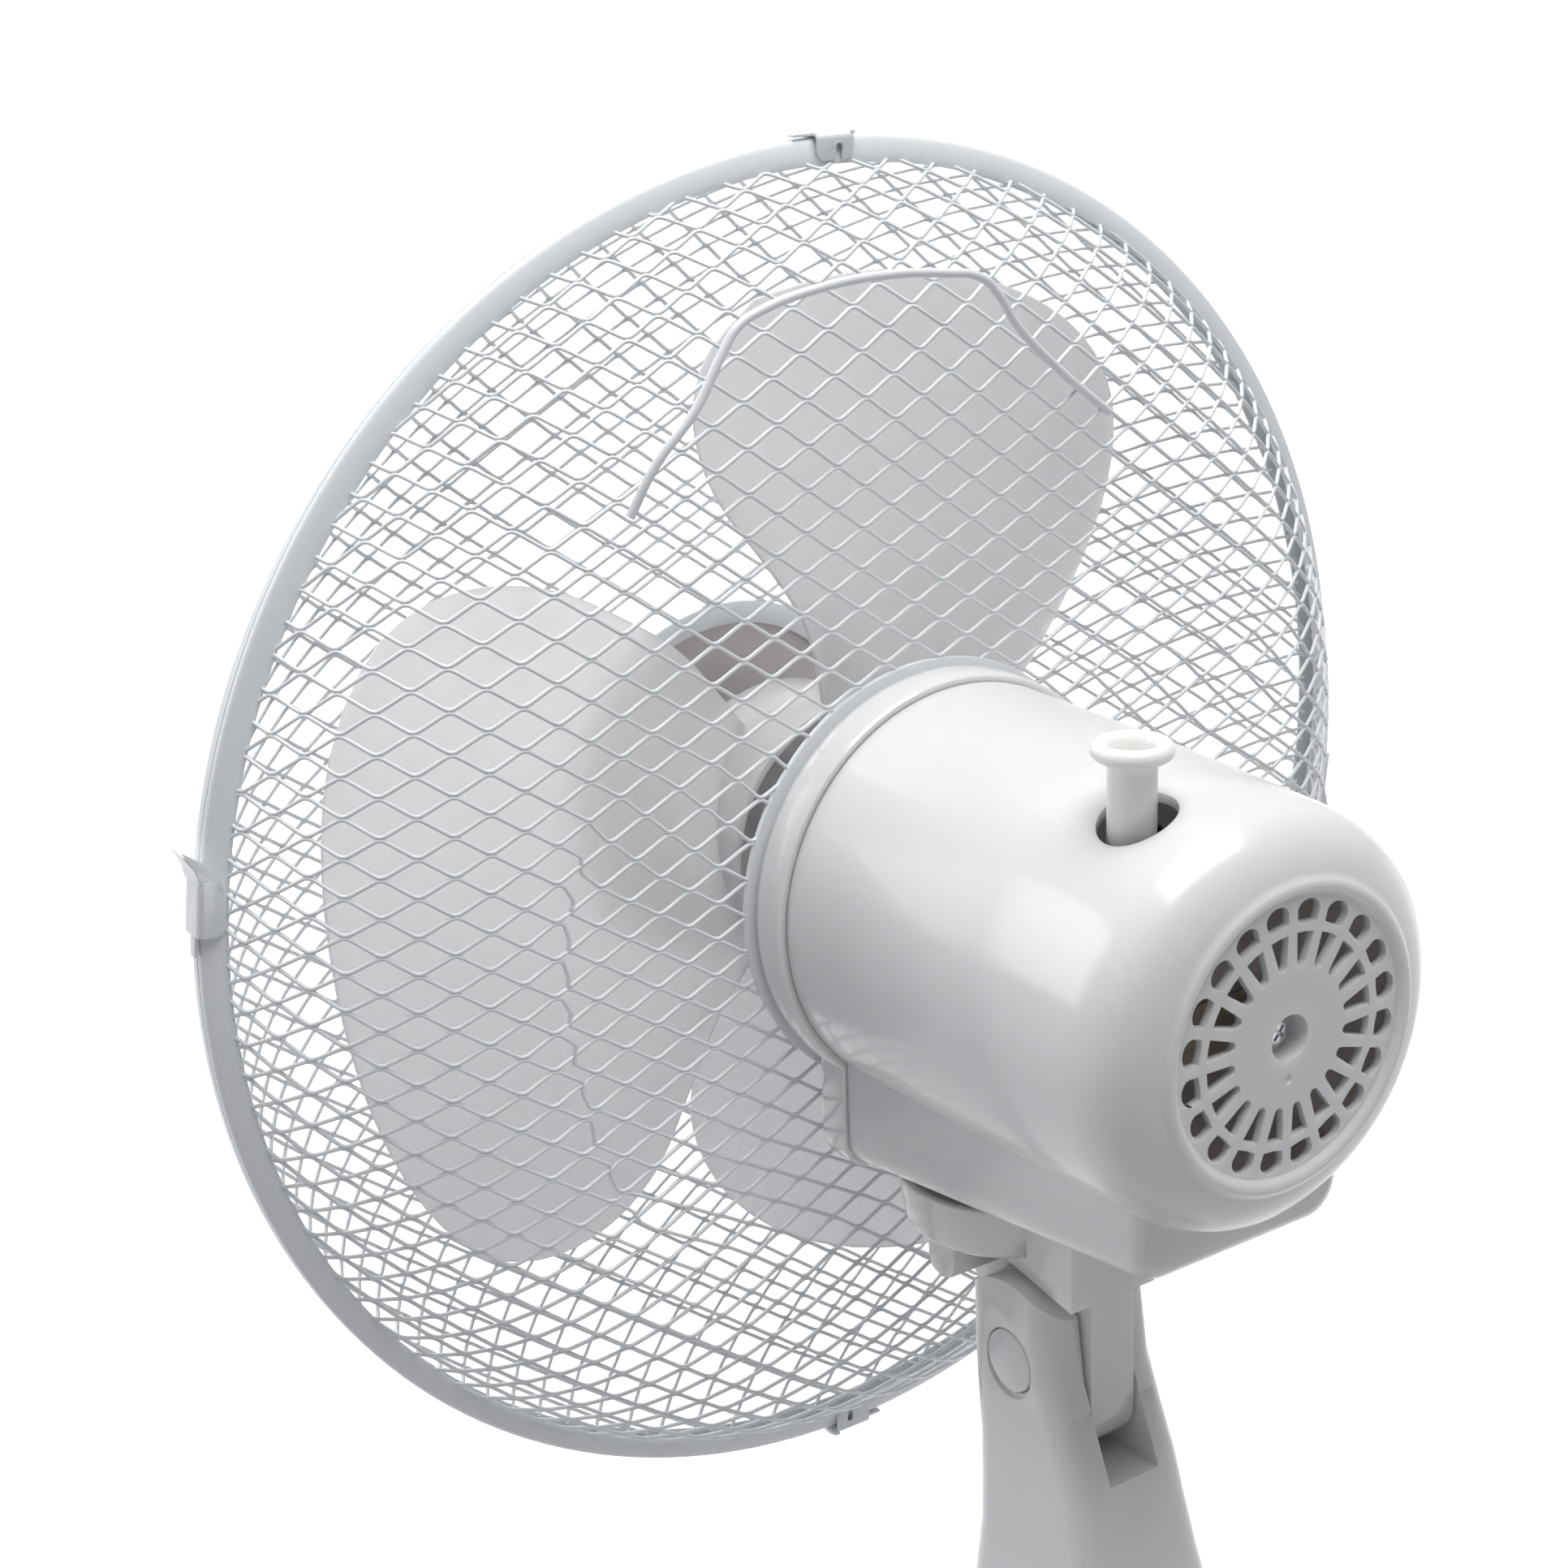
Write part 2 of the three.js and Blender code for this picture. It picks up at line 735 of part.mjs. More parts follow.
function rotor() {
  return ringTurned(
    [
      [SHAFT_R + SEAT, ROTOR_FRONT],
      [ROTOR_R, ROTOR_FRONT],
      [ROTOR_R, ROTOR_FRONT + STATOR_LEN],
      [SHAFT_R + SEAT, ROTOR_FRONT + STATOR_LEN],
    ],
    MEDIUM,
  );
}

function stator() {
  const inner = ROTOR_R + AIR_GAP;
  return ringTurned(
    [
      [inner, STATOR_FRONT],
      [STATOR_R, STATOR_FRONT],
      [STATOR_R, STATOR_FRONT + STATOR_LEN],
      [inner, STATOR_FRONT + STATOR_LEN],
    ],
    MEDIUM,
  );
}

function winding(start) {
  const end = start + WINDING_LEN;
  const inner = ROTOR_R + 3;
  return ringTurned(
    [
      [inner, start],
      [WINDING_R - 2, start],
      [WINDING_R, start + 2],
      [WINDING_R, end - 2],
      [WINDING_R - 2, end],
      [inner, end],
    ],
    SMALL,
  );
}

// Cast cup that centres the stator; `face` is its outer face and `toward` points to the stator.
function endBracket(face, toward) {
  const at = (d) => face + toward * d;
  const reach = toward > 0 ? STATOR_FRONT + 3 - face : face - (STATOR_FRONT + STATOR_LEN - 3);
  const seat = STATOR_R + SEAT;
  const bore = BEARING_R + SEAT;
  const profile = [
    [bore, at(0)],
    [seat + BRACKET_WALL - 3, at(0)],
    [seat + BRACKET_WALL, at(3)],
    [seat + BRACKET_WALL, at(reach)],
    [seat, at(reach)],
    [seat, at(BRACKET_WEB + 1.5)],
    [seat - 2, at(BRACKET_WEB)],
    [bore + 3, at(BRACKET_WEB)],
    [bore + 3, at(BEARING_LEN)],
    [bore, at(BEARING_LEN)],
  ];
  const cup = ringTurned(profile, MEDIUM);
  const windows = [45, 135, 225, 315].map((turn) => {
    const [y0, y1] = [at(-1), at(BRACKET_WEB + 1)].sort((a, b) => a - b);
    const slot = block(WINDOW_IN, WINDOW_OUT, y0, y1, -WINDOW_W / 2, WINDOW_W / 2);
    slot.rotateY(rad(turn));
    return slot;
  });
  return cut(cup, ...windows);
}

function bearing(start) {
  return ringTurned(
    [
      [SHAFT_R + RUN, start],
      [BEARING_R, start],
      [BEARING_R, start + BEARING_LEN],
      [SHAFT_R + RUN, start + BEARING_LEN],
    ],
    SMALL,
  );
}

// ---- Motor casing -------------------------------------------------------------------------

// Rounded box hanging below the round casing, as [y, half width, bottom] stations.
function keelBody(stations, top, corner) {
  return loft(
    stations.map(([y, w, z]) => {
      const right = arc(w - corner, z + corner, corner, 0, -90, 4);
      const left = arc(-w + corner, z + corner, corner, -90, -180, 4);
      return [[w, top], ...right, ...left, [-w, top]].map(([x, h]) => vec(x, y, h));
    }),
  );
}

// Straight taper of the keel from the casing joint to its rear face.
function keelAt(y) {
  const t = (y - SPLIT_Y) / (KEEL_BACK - SPLIT_Y);
  return [KEEL_W + (KEEL_TAIL_W - KEEL_W) * t, KEEL_Z + (KEEL_TAIL_Z - KEEL_Z) * t];
}

function keelStations(y0, y1, inset, round) {
  return [[y0, 0], [y1 - round, 0], [y1 - round * 0.3, round * 0.35], [y1, round]].map(([y, back]) => {
    const [w, z] = keelAt(y);
    return [y, w - inset - back, z + inset + back];
  });
}

function coverKeel(y0, y1, inset, round) {
  const w = KEEL_COVER_W - inset;
  const z = KEEL_Z - (KEEL_COVER_W - KEEL_W) + inset;
  return keelBody(
    [[y0, w - round, z + round], [y0 + round, w, z], [y1, w, z]],
    -20,
    KEEL_CORNER - inset,
  );
}

function motorFrontCover() {
  const inner = COVER_FRONT + COVER_PLATE;
  const back = SPLIT_Y - SEAT;
  const round = 3;
  const disc = turned(
    [
      [0, COVER_FRONT],
      [COVER_R - round, COVER_FRONT],
      [COVER_R - 0.8, COVER_FRONT + 1],
      [COVER_R, COVER_FRONT + round],
      [COVER_R, back],
      [0, back],
    ],
    ROUND,
  );
  const outer = join(disc, coverKeel(COVER_FRONT, back, 0, round));
  const hollow = join(
    drum(COVER_R - SHELL_WALL, inner, back + 1, ROUND),
    coverKeel(inner, back + 1, SHELL_WALL, 0.5),
  );
  const boss = drum(BOSS_R, COVER_FRONT - BOSS_LEN, inner, MEDIUM);
  const bore = drum(BOSS_R - 3, COVER_FRONT - BOSS_LEN - 1, inner + 1, MEDIUM);
  return cut(join(cut(outer, hollow), boss), bore, swivelHole());
}

function swivelHole() {
  return post(KEEL_HOLE_R, KEEL_Z - 5, KEEL_Z + 5, MEDIUM, 0, SWIVEL_Y);
}

function shellProfile(inset) {
  const r = (value) => value - inset;
  const back = SHELL_BACK - inset;
  const start = inset > 0 ? SPLIT_Y - 1 : SPLIT_Y;
  return [
    [0, start],
    [r(SHELL_R), start],
    [r(50), 95],
    [r(SHELL_TAIL_R + 0.4), 140],
    [r(SHELL_TAIL_R), KEEL_BACK - inset],
    [r(SHELL_TAIL_R - 1.6), KEEL_BACK + 5.5 - inset],
    [r(SHELL_TAIL_R - 5.4), KEEL_BACK + 9.5 - inset],
    [r(SHELL_TAIL_R - 10.6), back - 0.6],
    [BEAD_R + 2, back],
  ];
}

function shellOuter() {
  const back = SHELL_BACK;
  return turned(
    [
      ...shellProfile(0),
      [BEAD_R + 0.8, back + BEAD_H],
      [BEAD_R - 0.8, back + BEAD_H],
      [BEAD_R - 2, back - 0.4],
      [0, back - 0.4],
    ],
    ROUND,
  );
}

function shellInner() {
  return turned([...shellProfile(SHELL_WALL), [0, SHELL_BACK - SHELL_WALL]], ROUND);
}

// Outline of one air slot between two radii, narrowing with the ribs beside it.
function airSlot(r0, r1, turn, rounded) {
  const half = (r) => (Math.PI * r) / VENT_COUNT - VENT_RIB / 2;
  const tip = rounded ? half(r1) : 0.8;
  const inner = rounded ? 0 : 0.9;
  const points = [
    [r0 + inner, -half(r0) * 0.9],
    [r1 - tip * 0.75, -half(r1)],
    [r1 - tip * 0.15, 0],
    [r1 - tip * 0.75, half(r1)],
    [r0 + inner, half(r0) * 0.9],
  ];
  const [c, s] = polar(1, turn);
  return faceProfile(points.map(([u, v]) => [c * u - s * v, s * u + c * v]), 158, 170);
}

function ventSlots() {
  const pitch = 360 / VENT_COUNT;
  const slots = [];
  for (let i = 0; i < VENT_COUNT; i += 1) {
    const turn = (i + 0.5) * pitch;
    slots.push(airSlot(VENT_OUT[0], VENT_OUT[1], turn, true));
    slots.push(airSlot(VENT_IN[0], VENT_IN[1], turn, false));
  }
  return slots;
}

function screwWell() {
  return drum(WELL_R + 1.8, WELL_FLOOR, SHELL_BACK - 1, SMALL);
}

function motorRearCover() {
  const round = 6;
  const outer = join(shellOuter(), keelBody(keelStations(SPLIT_Y, KEEL_BACK, 0, round), -20, KEEL_CORNER));
  const hollow = join(
    shellInner(),
    keelBody(
      keelStations(SPLIT_Y - 1, KEEL_BACK - SHELL_WALL, SHELL_WALL, round),
      -20,
      KEEL_CORNER - SHELL_WALL,
    ),
  );
  const shell = join(cut(outer, hollow), screwWell());
  const well = drum(WELL_R, WELL_FLOOR + 2, SHELL_BACK + 5, SMALL);
  const through = drum(SCREW_R + RUN, WELL_FLOOR - 1, WELL_FLOOR + 3, SMALL);
  const dimple = new THREE.SphereGeometry(3, 10, 6);
  dimple.translate(0, SHELL_BACK + 1.6, -9.5);
  const knobHole = post(KNOB_HOLE_R, 30, 60, MEDIUM, CRANK_X - 0.9, CRANK_Y + 0.7);
  return cut(shell, well, through, dimple, knobHole, swivelHole(), ...ventSlots());
}

const SCREW_R = 1.6;
const SCREW_HEAD_R = 3.3;
const SCREW_LEN = 9;

function rearScrew() {
  const seat = WELL_FLOOR + 2 + SEAT;
  const tip = seat - SCREW_LEN;
  const body = turned(
    [
      [0, tip],
      [SCREW_R, tip + 1],
      [SCREW_R, seat],
      [SCREW_HEAD_R, seat],
      [SCREW_HEAD_R, seat + 1],
      [SCREW_HEAD_R - 1.4, seat + 2.2],
      [0, seat + 2.4],
    ],
    SMALL,
  );
  const slots = [0, 90].map((turn) => {
    const bar = block(-1.9, 1.9, seat + 1.1, seat + 3, -0.45, 0.45);
    bar.rotateY(rad(45 + turn));
    return bar;
  });
  return cut(body, ...slots);
}

// Large nut inside the grille that clamps its hub ring to the motor cover.
function lockNut() {
  const clamp = REAR_FLAT_Y - MESH_T / 2 - SEAT;
  const bore = BOSS_R + SEAT;
  const flange = ringTurned(
    [
      [bore, clamp],
      [LOCK_R, clamp],
      [LOCK_R, clamp - LOCK_T + 0.6],
      [LOCK_R - 1.5, clamp - LOCK_T],
      [LOCK_HUB_R + 1, clamp - LOCK_T],
      [LOCK_HUB_R, clamp - LOCK_HUB_LEN],
      [bore, clamp - LOCK_HUB_LEN],
    ],
    MEDIUM,
  );
  const grips = [0, 45, 90, 135].map((turn) => {
    const rib = block(-LOCK_HUB_R - 8, LOCK_HUB_R + 8, clamp - LOCK_T - 5, clamp - LOCK_T + 0.5, -1.2, 1.2);
    rib.rotateY(rad(turn));
    return cut(rib, drum(LOCK_HUB_R - 1, clamp - 20, clamp + 5, MEDIUM));
  });
  return join(flange, ...grips);
}

// ---- Oscillating gear ---------------------------------------------------------------------

const GEARBOX = { x0: -10, x1: 36, y0: BRACKET_BACK + SEAT, y1: 152.5, z0: -9, z1: 8 };
const BOX_SCREW_Y = 143.5;

function gearbox() {
  const b = GEARBOX;
  const w = GEARBOX_WALL;
  const tub = block(b.x0, b.x1, b.y0, b.y1, b.z0, b.z1);
  const room = block(b.x0 + w, b.x1 - w, b.y0 + w, b.y1 - w, b.z0 + w, b.z1 + 1);
  const shaftHole = drum(WORM_SHAFT_R + 0.6, b.y0 - 1, b.y0 + w + 1, SMALL);
  const spindleHole = post(SPINDLE_R + RUN, b.z0 - 1, b.z0 + w + 1, SMALL, CRANK_X, CRANK_Y);
  const boss = drum(4.2, BOX_SCREW_Y, WELL_FLOOR - SEAT, SMALL);
  const seatNotch = drum(6.6, WELL_FLOOR - SEAT, b.y1 + 1, SMALL);
  const screwBore = drum(SCREW_R + SEAT, BOX_SCREW_Y - 1, b.y1 + 1, SMALL);
  return cut(join(cut(tub, room), boss), shaftHole, spindleHole, seatNotch, screwBore);
}

function gearboxCover() {
  const b = GEARBOX;
  const z = b.z1 + SEAT;
  const plan = [
    ...arc(b.x1 - 4, b.y1 - 4, 4, 0, 90, 3),
    ...arc(b.x0 + 4, b.y1 - 4, 4, 90, 180, 3),
    ...arc(b.x0 + 4, b.y0 + 4, 4, 180, 270, 3),
    ...arc(b.x1 - 4, b.y0 + 4, 4, 270, 360, 3),
  ];
  const hole = post(SPINDLE_R + RUN, z - 1, z + 3, SMALL, CRANK_X, CRANK_Y);
  return cut(planProfile(plan, z, z + 2), hole);
}

// Single-start worm: a ridge winding round a core that is bored for the shaft.
function worm() {
  const steps = 8;
  const turns = (WORM_TO - WORM_FROM - WORM_LEAD * 0.6) / WORM_LEAD;
  const half = 0.42;
  const sections = [];
  for (let i = 0; i <= Math.round(turns * steps); i += 1) {
    const a = (i / steps) * 2 * Math.PI;
    const y = WORM_FIRST + (WORM_LEAD * i) / steps;
    const at = (r, d) => vec(r * Math.sin(a + WORM_PHASE), y + d, r * Math.cos(a + WORM_PHASE));
    const low = WORM_CORE - 0.4;
    sections.push([at(low, -half * 1.7), at(WORM_R, -half), at(WORM_R, half), at(low, half * 1.7)]);
  }
  const core = drum(WORM_CORE, WORM_FROM, WORM_TO, SMALL);
  const bore = drum(WORM_SHAFT_R + SEAT, WORM_FROM - 1, WORM_TO + 1, SMALL);
  return cut(join(core, loft(sections)), bore);
}

// Turn of the ridge that puts it in a tooth space on the wheel's centre line.
const WORM_FIRST = WORM_FROM + WORM_LEAD * 0.3;
const WORM_PHASE = Math.PI / 2 - (2 * Math.PI * (CRANK_Y - WORM_FIRST)) / WORM_LEAD;

function wormWheel() {
  const pitch = 360 / WHEEL_TEETH;
  const points = [];
  for (let i = 0; i < WHEEL_TEETH; i += 1) {
    const a = i * pitch + pitch / 2;
    points.push(
      polar(WHEEL_ROOT, a - pitch * 0.3),
      polar(WHEEL_R, a - pitch * 0.12),
      polar(WHEEL_R, a + pitch * 0.12),
      polar(WHEEL_ROOT, a + pitch * 0.3),
    );
  }
  const disc = planProfile(points, -WHEEL_T / 2, WHEEL_T / 2);
  const hubBottom = GEARBOX.z0 + GEARBOX_WALL + SEAT;
  const hub = post(5.5, hubBottom, GEARBOX.z1 - 1, SMALL);
  const bore = post(SPINDLE_R + RUN, hubBottom - 1, GEARBOX.z1, SMALL);
  const wheel = cut(join(disc, hub), bore);
  wheel.translate(CRANK_X, CRANK_Y, 0);
  return wheel;
}

const CRANK_PIN = polar(CRANK_THROW, CRANK_ANGLE).map((v, i) => v + [CRANK_X, CRANK_Y][i]);
const NECK_PIN = polar(PIN_RADIUS, PIN_ANGLE).map((v, i) => v + [0, SWIVEL_Y][i]);

// Rounded bar between two points, in plan.
function strap(from, to, r0, r1, z0, z1) {
  const angle = THREE.MathUtils.radToDeg(Math.atan2(to[1] - from[1], to[0] - from[0]));
  const outline = [
    ...arc(from[0], from[1], r0, angle + 90, angle + 270, 8),
    ...arc(to[0], to[1], r1, angle - 90, angle + 90, 8),
  ];
  return planProfile(outline, z0, z1);
}

function crankSpindle() {
  const arm = strap([CRANK_X, CRANK_Y], CRANK_PIN, 5, 3.4, CRANK_ARM_Z - CRANK_ARM_T, CRANK_ARM_Z);
  const shaft = post(SPINDLE_R, CRANK_ARM_Z - 1, SPINDLE_TOP, SMALL, CRANK_X, CRANK_Y);
  const collar = post(5, GEARBOX.z0 - SEAT - 3, GEARBOX.z0 - SEAT, SMALL, CRANK_X, CRANK_Y);
  const pin = post(PIN_R, LINK_Z - LINK_T - 0.4, CRANK_ARM_Z - 1, 16, CRANK_PIN[0], CRANK_PIN[1]);
  return join(shaft, arm, collar, pin);
}

// Bowed connecting rod from the crank pin to the fixed pin of the neck.
function linkRod() {
  const dx = CRANK_PIN[0] - NECK_PIN[0];
  const dy = CRANK_PIN[1] - NECK_PIN[1];
  const length = Math.hypot(dx, dy);
  const bow = [0, 0.75, 1, 0.9, 0.65, 0.3, 0];
  const along = [0, 0.08, 0.18, 0.32, 0.55, 0.8, 1];
  const mid = along.map((t, i) => [t * length, bow[i] * LINK_BOW]);
  const edge = (side) => mid.map(([u, v]) => [u, v + (side * LINK_W) / 2]);
  const outline = [...edge(-1), ...edge(1).reverse()];
  const turn = (points) =>
    points.map(([u, v]) => [
      NECK_PIN[0] + (u * dx - v * dy) / length,
      NECK_PIN[1] + (u * dy + v * dx) / length,
    ]);
  const z0 = LINK_Z - LINK_T;
  const eye = ([x, y], r) => post(r, z0, LINK_Z, SMALL, x, y);
  const hole = ([x, y], r) => post(r, z0 - 1, LINK_Z + 1, SMALL, x, y);
  const bar = join(planProfile(turn(outline), z0, LINK_Z), eye(CRANK_PIN, 3.4), eye(NECK_PIN, 3.9));
  return cut(bar, hole(CRANK_PIN, PIN_R + RUN), hole(NECK_PIN, PIN_R + LINK_PLAY));
}

function knob() {
  const top = KNOB_LIP_Z;
  const floor = SPINDLE_TOP + KNOB_STROKE + 2;
  const lip = arc(KNOB_LIP_R - KNOB_LIP, top, KNOB_LIP, -110, 150, 8);
  const body = upright(
    [[0, KNOB_BOTTOM], [KNOB_R, KNOB_BOTTOM], [KNOB_R, top - 2.5], ...lip, [5, top + 0.4], [4.4, top - 3],
      [4, top - 3.2], [4, floor + 2], [0, floor + 2]],
    MEDIUM,
    CRANK_X,
    CRANK_Y,
  );
  const bore = post(SPINDLE_R + RUN, KNOB_BOTTOM - 1, floor, SMALL, CRANK_X, CRANK_Y);
  return cut(body, bore);
}

function swivelPin() {
  const collar = DISH_TOP + 0.2 + SEAT;
  return upright(
    [[0, SOCKET_BOTTOM], [SWIVEL_R, SOCKET_BOTTOM], [SWIVEL_R, collar], [6, collar], [6, collar + 3],
      [SWIVEL_R, collar + 3], [SWIVEL_R, YOKE_Z - 0.6], [0, YOKE_Z - 0.6]],
    SMALL,
    0,
    SWIVEL_Y,
  );
}

// Plate under the motor that takes the weight of the head to the swivel pin.
function yoke() {
  const z = YOKE_Z;
  const plan = [
    ...arc(14, 96, 5, 0, 90, 3),
    ...arc(-14, 96, 5, 90, 180, 3),
    ...arc(-14, 50, 5, 180, 270, 3),
    ...arc(14, 50, 5, 270, 360, 3),
  ];
  const plate = planProfile(plan, z - YOKE_T, z);
  return cut(plate, post(SWIVEL_R + SEAT, z - YOKE_T - 1, z + 1, SMALL, 0, SWIVEL_Y));
}

// ---- Neck ---------------------------------------------------------------------------------

function tongueProfile() {
  const toe = TILT_Z - TONGUE_DROP;
  const heel = toe - KNUCKLE_R + HEEL_R;
  return [
    [NECK_BACK, SADDLE_Z + 2],
    [TILT_Y - 14, SADDLE_Z + 4],
    [TILT_Y - 28, SADDLE_Z - 2],
    [TILT_Y - 29, SADDLE_Z - 6],
    [TILT_Y - 24, SADDLE_Z - 11],
    ...arc(TILT_Y, toe, KNUCKLE_R, 190, 270, 8),
    ...arc(NECK_BACK - HEEL_R, heel, HEEL_R, 270, 360, 6),
  ];
}

// Side outline of the block behind the dish, whose foot slopes down to the back.
function saddleProfile() {
  return [
    [NECK_BACK, DISH_TOP],
    [NECK_BACK, SADDLE_Z],
    [NECK_BACK - 2.5, SADDLE_Z - 1.2],
    [81, DISH_FLOOR - 4],
    [62, DISH_FLOOR - 4],
    [62, DISH_FLOOR - 1],
    [SWIVEL_Y + DISH_FOOT_R - DISH_WALL, DISH_FLOOR - 1],
    [SWIVEL_Y + DISH_FOOT_R - DISH_WALL, DISH_TOP],
  ];
}

function neckBracket() {
  const dish = upright(
    [[0, DISH_FLOOR - DISH_WALL], [DISH_FOOT_R - 2, DISH_FLOOR - DISH_WALL],
      [DISH_FOOT_R, DISH_FLOOR - DISH_WALL + 2], [DISH_R, DISH_TOP], [DISH_R - DISH_WALL, DISH_TOP],
      [DISH_FOOT_R - DISH_WALL, DISH_FLOOR], [0, DISH_FLOOR]],
    MEDIUM,
    0,
    SWIVEL_Y,
  );
  const socket = post(SOCKET_R, SOCKET_BOTTOM, DISH_TOP + 0.2, SMALL, 0, SWIVEL_Y);
  const riser = cut(
    sideProfile(saddleProfile(), -NECK_W, NECK_W),
    post(DISH_FOOT_R - DISH_WALL, DISH_FLOOR, DISH_TOP + 1, MEDIUM, 0, SWIVEL_Y),
  );
  const tongue = sideProfile(tongueProfile(), -TONGUE_W, TONGUE_W);
  const pinPost = post(3, DISH_FLOOR - 1, LINK_Z - LINK_T - SEAT, SMALL, NECK_PIN[0], NECK_PIN[1]);
  const spigot = post(PIN_R, LINK_Z - LINK_T - 1, LINK_Z + 0.3, 16, NECK_PIN[0], NECK_PIN[1]);
  const lug = join(
    block(6, 18, 66, 76, -86, DISH_FLOOR - 1),
    post(5, -91, DISH_FLOOR - 1, SMALL, 18, 71),
  );
  const whole = join(dish, socket, riser, tongue, pinPost, spigot, lug);
  return cut(
    whole,
    post(SWIVEL_R + RUN, SOCKET_BOTTOM - 1, DISH_TOP + 1, SMALL, 0, SWIVEL_Y),
    crossPin(BOLT_R + RUN, -TONGUE_W - 1, TONGUE_W + 1, TILT_Y, TILT_Z, SMALL),
  );
}

// Pivot fittings, drawn about the tilt bolt's axis with the column at its sides.
const CHEEK_OUT = 17;
const BOLT_HEAD_R = 6;
const BOLT_HEAD_T = 3.4;
const RECESS_DEPTH = 2.4;
const BOLT_SEAT = CHEEK_OUT - RECESS_DEPTH - BOLT_HEAD_T - 0.6;

function tiltBolt() {
  const shank = crossPin(BOLT_R, -BOLT_SEAT - BOLT_HEAD_T + 0.3, BOLT_SEAT + 0.5, 0, 0, SMALL);
  const head = crossPin(BOLT_HEAD_R - 0.6, BOLT_SEAT + SEAT, BOLT_SEAT + BOLT_HEAD_T, 0, 0, 16);
  return join(shank, head);
}

function tiltNut() {
  const body = crossPin(BOLT_HEAD_R - 0.6, -BOLT_SEAT - BOLT_HEAD_T, -BOLT_SEAT - SEAT, 0, 0, 6);
  return cut(body, crossPin(BOLT_R + SEAT, -BOLT_SEAT - 10, -BOLT_SEAT + 1, 0, 0, SMALL));
}

function pivotCap(side) {
  const inner = CHEEK_OUT - RECESS_DEPTH + SEAT;
  const outer = inner + CAP_T;
  const profile = [
    [0, inner],
    [CAP_R, inner],
    [CAP_R, outer - 0.4],
    [CAP_R - 1, outer],
    [0, outer],
  ];
  const cap = new THREE.LatheGeometry(profile.map(([r, x]) => new THREE.Vector2(r, x)), MEDIUM);
  cap.rotateZ(side > 0 ? -Math.PI / 2 : Math.PI / 2);
  return cap;
}

// ---- Column -------------------------------------------------------------------------------

const PIVOT_Y = HEAD_Y + TILT_Y;
const PIVOT_Z = HEAD_Z + TILT_Z;

function columnSection([z, w, front, back], inset) {
  const corner = COLUMN_CORNER - inset;
  const x = w - inset - corner;
  const y0 = PIVOT_Y + front + inset + corner;
  const y1 = PIVOT_Y + back - inset - corner;
  return [
    ...arc(x, y1, corner, 0, 90, 3),
    ...arc(-x, y1, corner, 90, 180, 3),
    ...arc(-x, y0, corner, 180, 270, 3),
    ...arc(x, y0, corner, 270, 360, 3),
  ].map(([px, py]) => vec(px, py, z));
}

function columnHollow() {
  const below = COLUMN_SECTIONS.filter(([z]) => z < CHEEK_SOLID);
  const above = COLUMN_SECTIONS[COLUMN_SECTIONS.length - below.length - 1];
  const t = (CHEEK_SOLID - above[0]) / (below[0][0] - above[0]);
  const ceiling = above.map((v, i) => v + (below[0][i] - v) * t);
  const foot = below[below.length - 1];
  const sunk = [foot[0] - CUT_DEPTH, ...foot.slice(1)];
  return loft([ceiling, ...below.slice(0, -1), foot, sunk].map((s) => columnSection(s, COLUMN_WALL)));
}

// Side outline of the column: round cheeks about the tilt bolt, then wide open below.
function cheekOutline() {
  return [
    [PIVOT_Y - 90, 20],
    [PIVOT_Y + 90, 20],
    [PIVOT_Y + 90, 190],
    [PIVOT_Y + 30, 190],
    ...arc(PIVOT_Y, PIVOT_Z, CHEEK_R, -25, 205, 20),
    [PIVOT_Y - 24, 190],
    [PIVOT_Y - 90, 190],
  ];
}

// Slot that the tongue of the neck swings in.
function tongueSlot() {
  const floor = arc(PIVOT_Y, PIVOT_Z, SLOT_R, -165, -70, 10);
  const sill = PIVOT_Z - SLOT_R + SLOT_RISE;
  const outline = [
    [PIVOT_Y - 40, PIVOT_Z + 40],
    [PIVOT_Y - 40, PIVOT_Z - 4],
    ...floor,
    [PIVOT_Y + 26, sill],
    [PIVOT_Y + 60, sill],
    [PIVOT_Y + 60, PIVOT_Z + 40],
  ];
  return sideProfile(outline, -SLOT_W, SLOT_W);
}

// Seat of a pivot cap, with a shallow scoop below it to prise the cap out by.
function capRecess(side) {
  const sunk = (r, depth, drop) => {
    const inner = side * (CHEEK_OUT - depth);
    const outer = side * (CHEEK_OUT + CUT_DEPTH);
    const [x0, x1] = side > 0 ? [inner, outer] : [outer, inner];
    return crossPin(r, x0, x1, PIVOT_Y, PIVOT_Z - drop, MEDIUM);
  };
  return join(sunk(CAP_R + CAP_FIT, RECESS_DEPTH, 0), sunk(CAP_R + CAP_FIT, SCOOP_DEPTH, SCOOP_DROP));
}

function boltPocket(side) {
  const inner = side > 0 ? BOLT_SEAT : -CHEEK_OUT;
  const outer = side > 0 ? CHEEK_OUT : -BOLT_SEAT;
  return crossPin(BOLT_HEAD_R, inner, outer, PIVOT_Y, PIVOT_Z, SMALL);
}

function column() {
  const outer = loft(COLUMN_SECTIONS.map((s) => columnSection(s, 0)));
  const rounded = common(outer, sideProfile(cheekOutline(), -80, 80));
  return cut(
    rounded,
    columnHollow(),
    tongueSlot(),
    capRecess(1),
    capRecess(-1),
    boltPocket(1),
    boltPocket(-1),
    crossPin(BOLT_R + RUN, -CHEEK_OUT, CHEEK_OUT, PIVOT_Y, PIVOT_Z, SMALL),
    coverSolid(SEAT),
  );
}

// ---- Base ---------------------------------------------------------------------------------

function coverSolid(grow) {
  const outer = coverProfile(0).map(([r, z]) => [r + (r > 0 ? grow : 0), z + grow]);
  return upright([[0, 0], ...outer], ROUND, 0, BASE_Y);
}

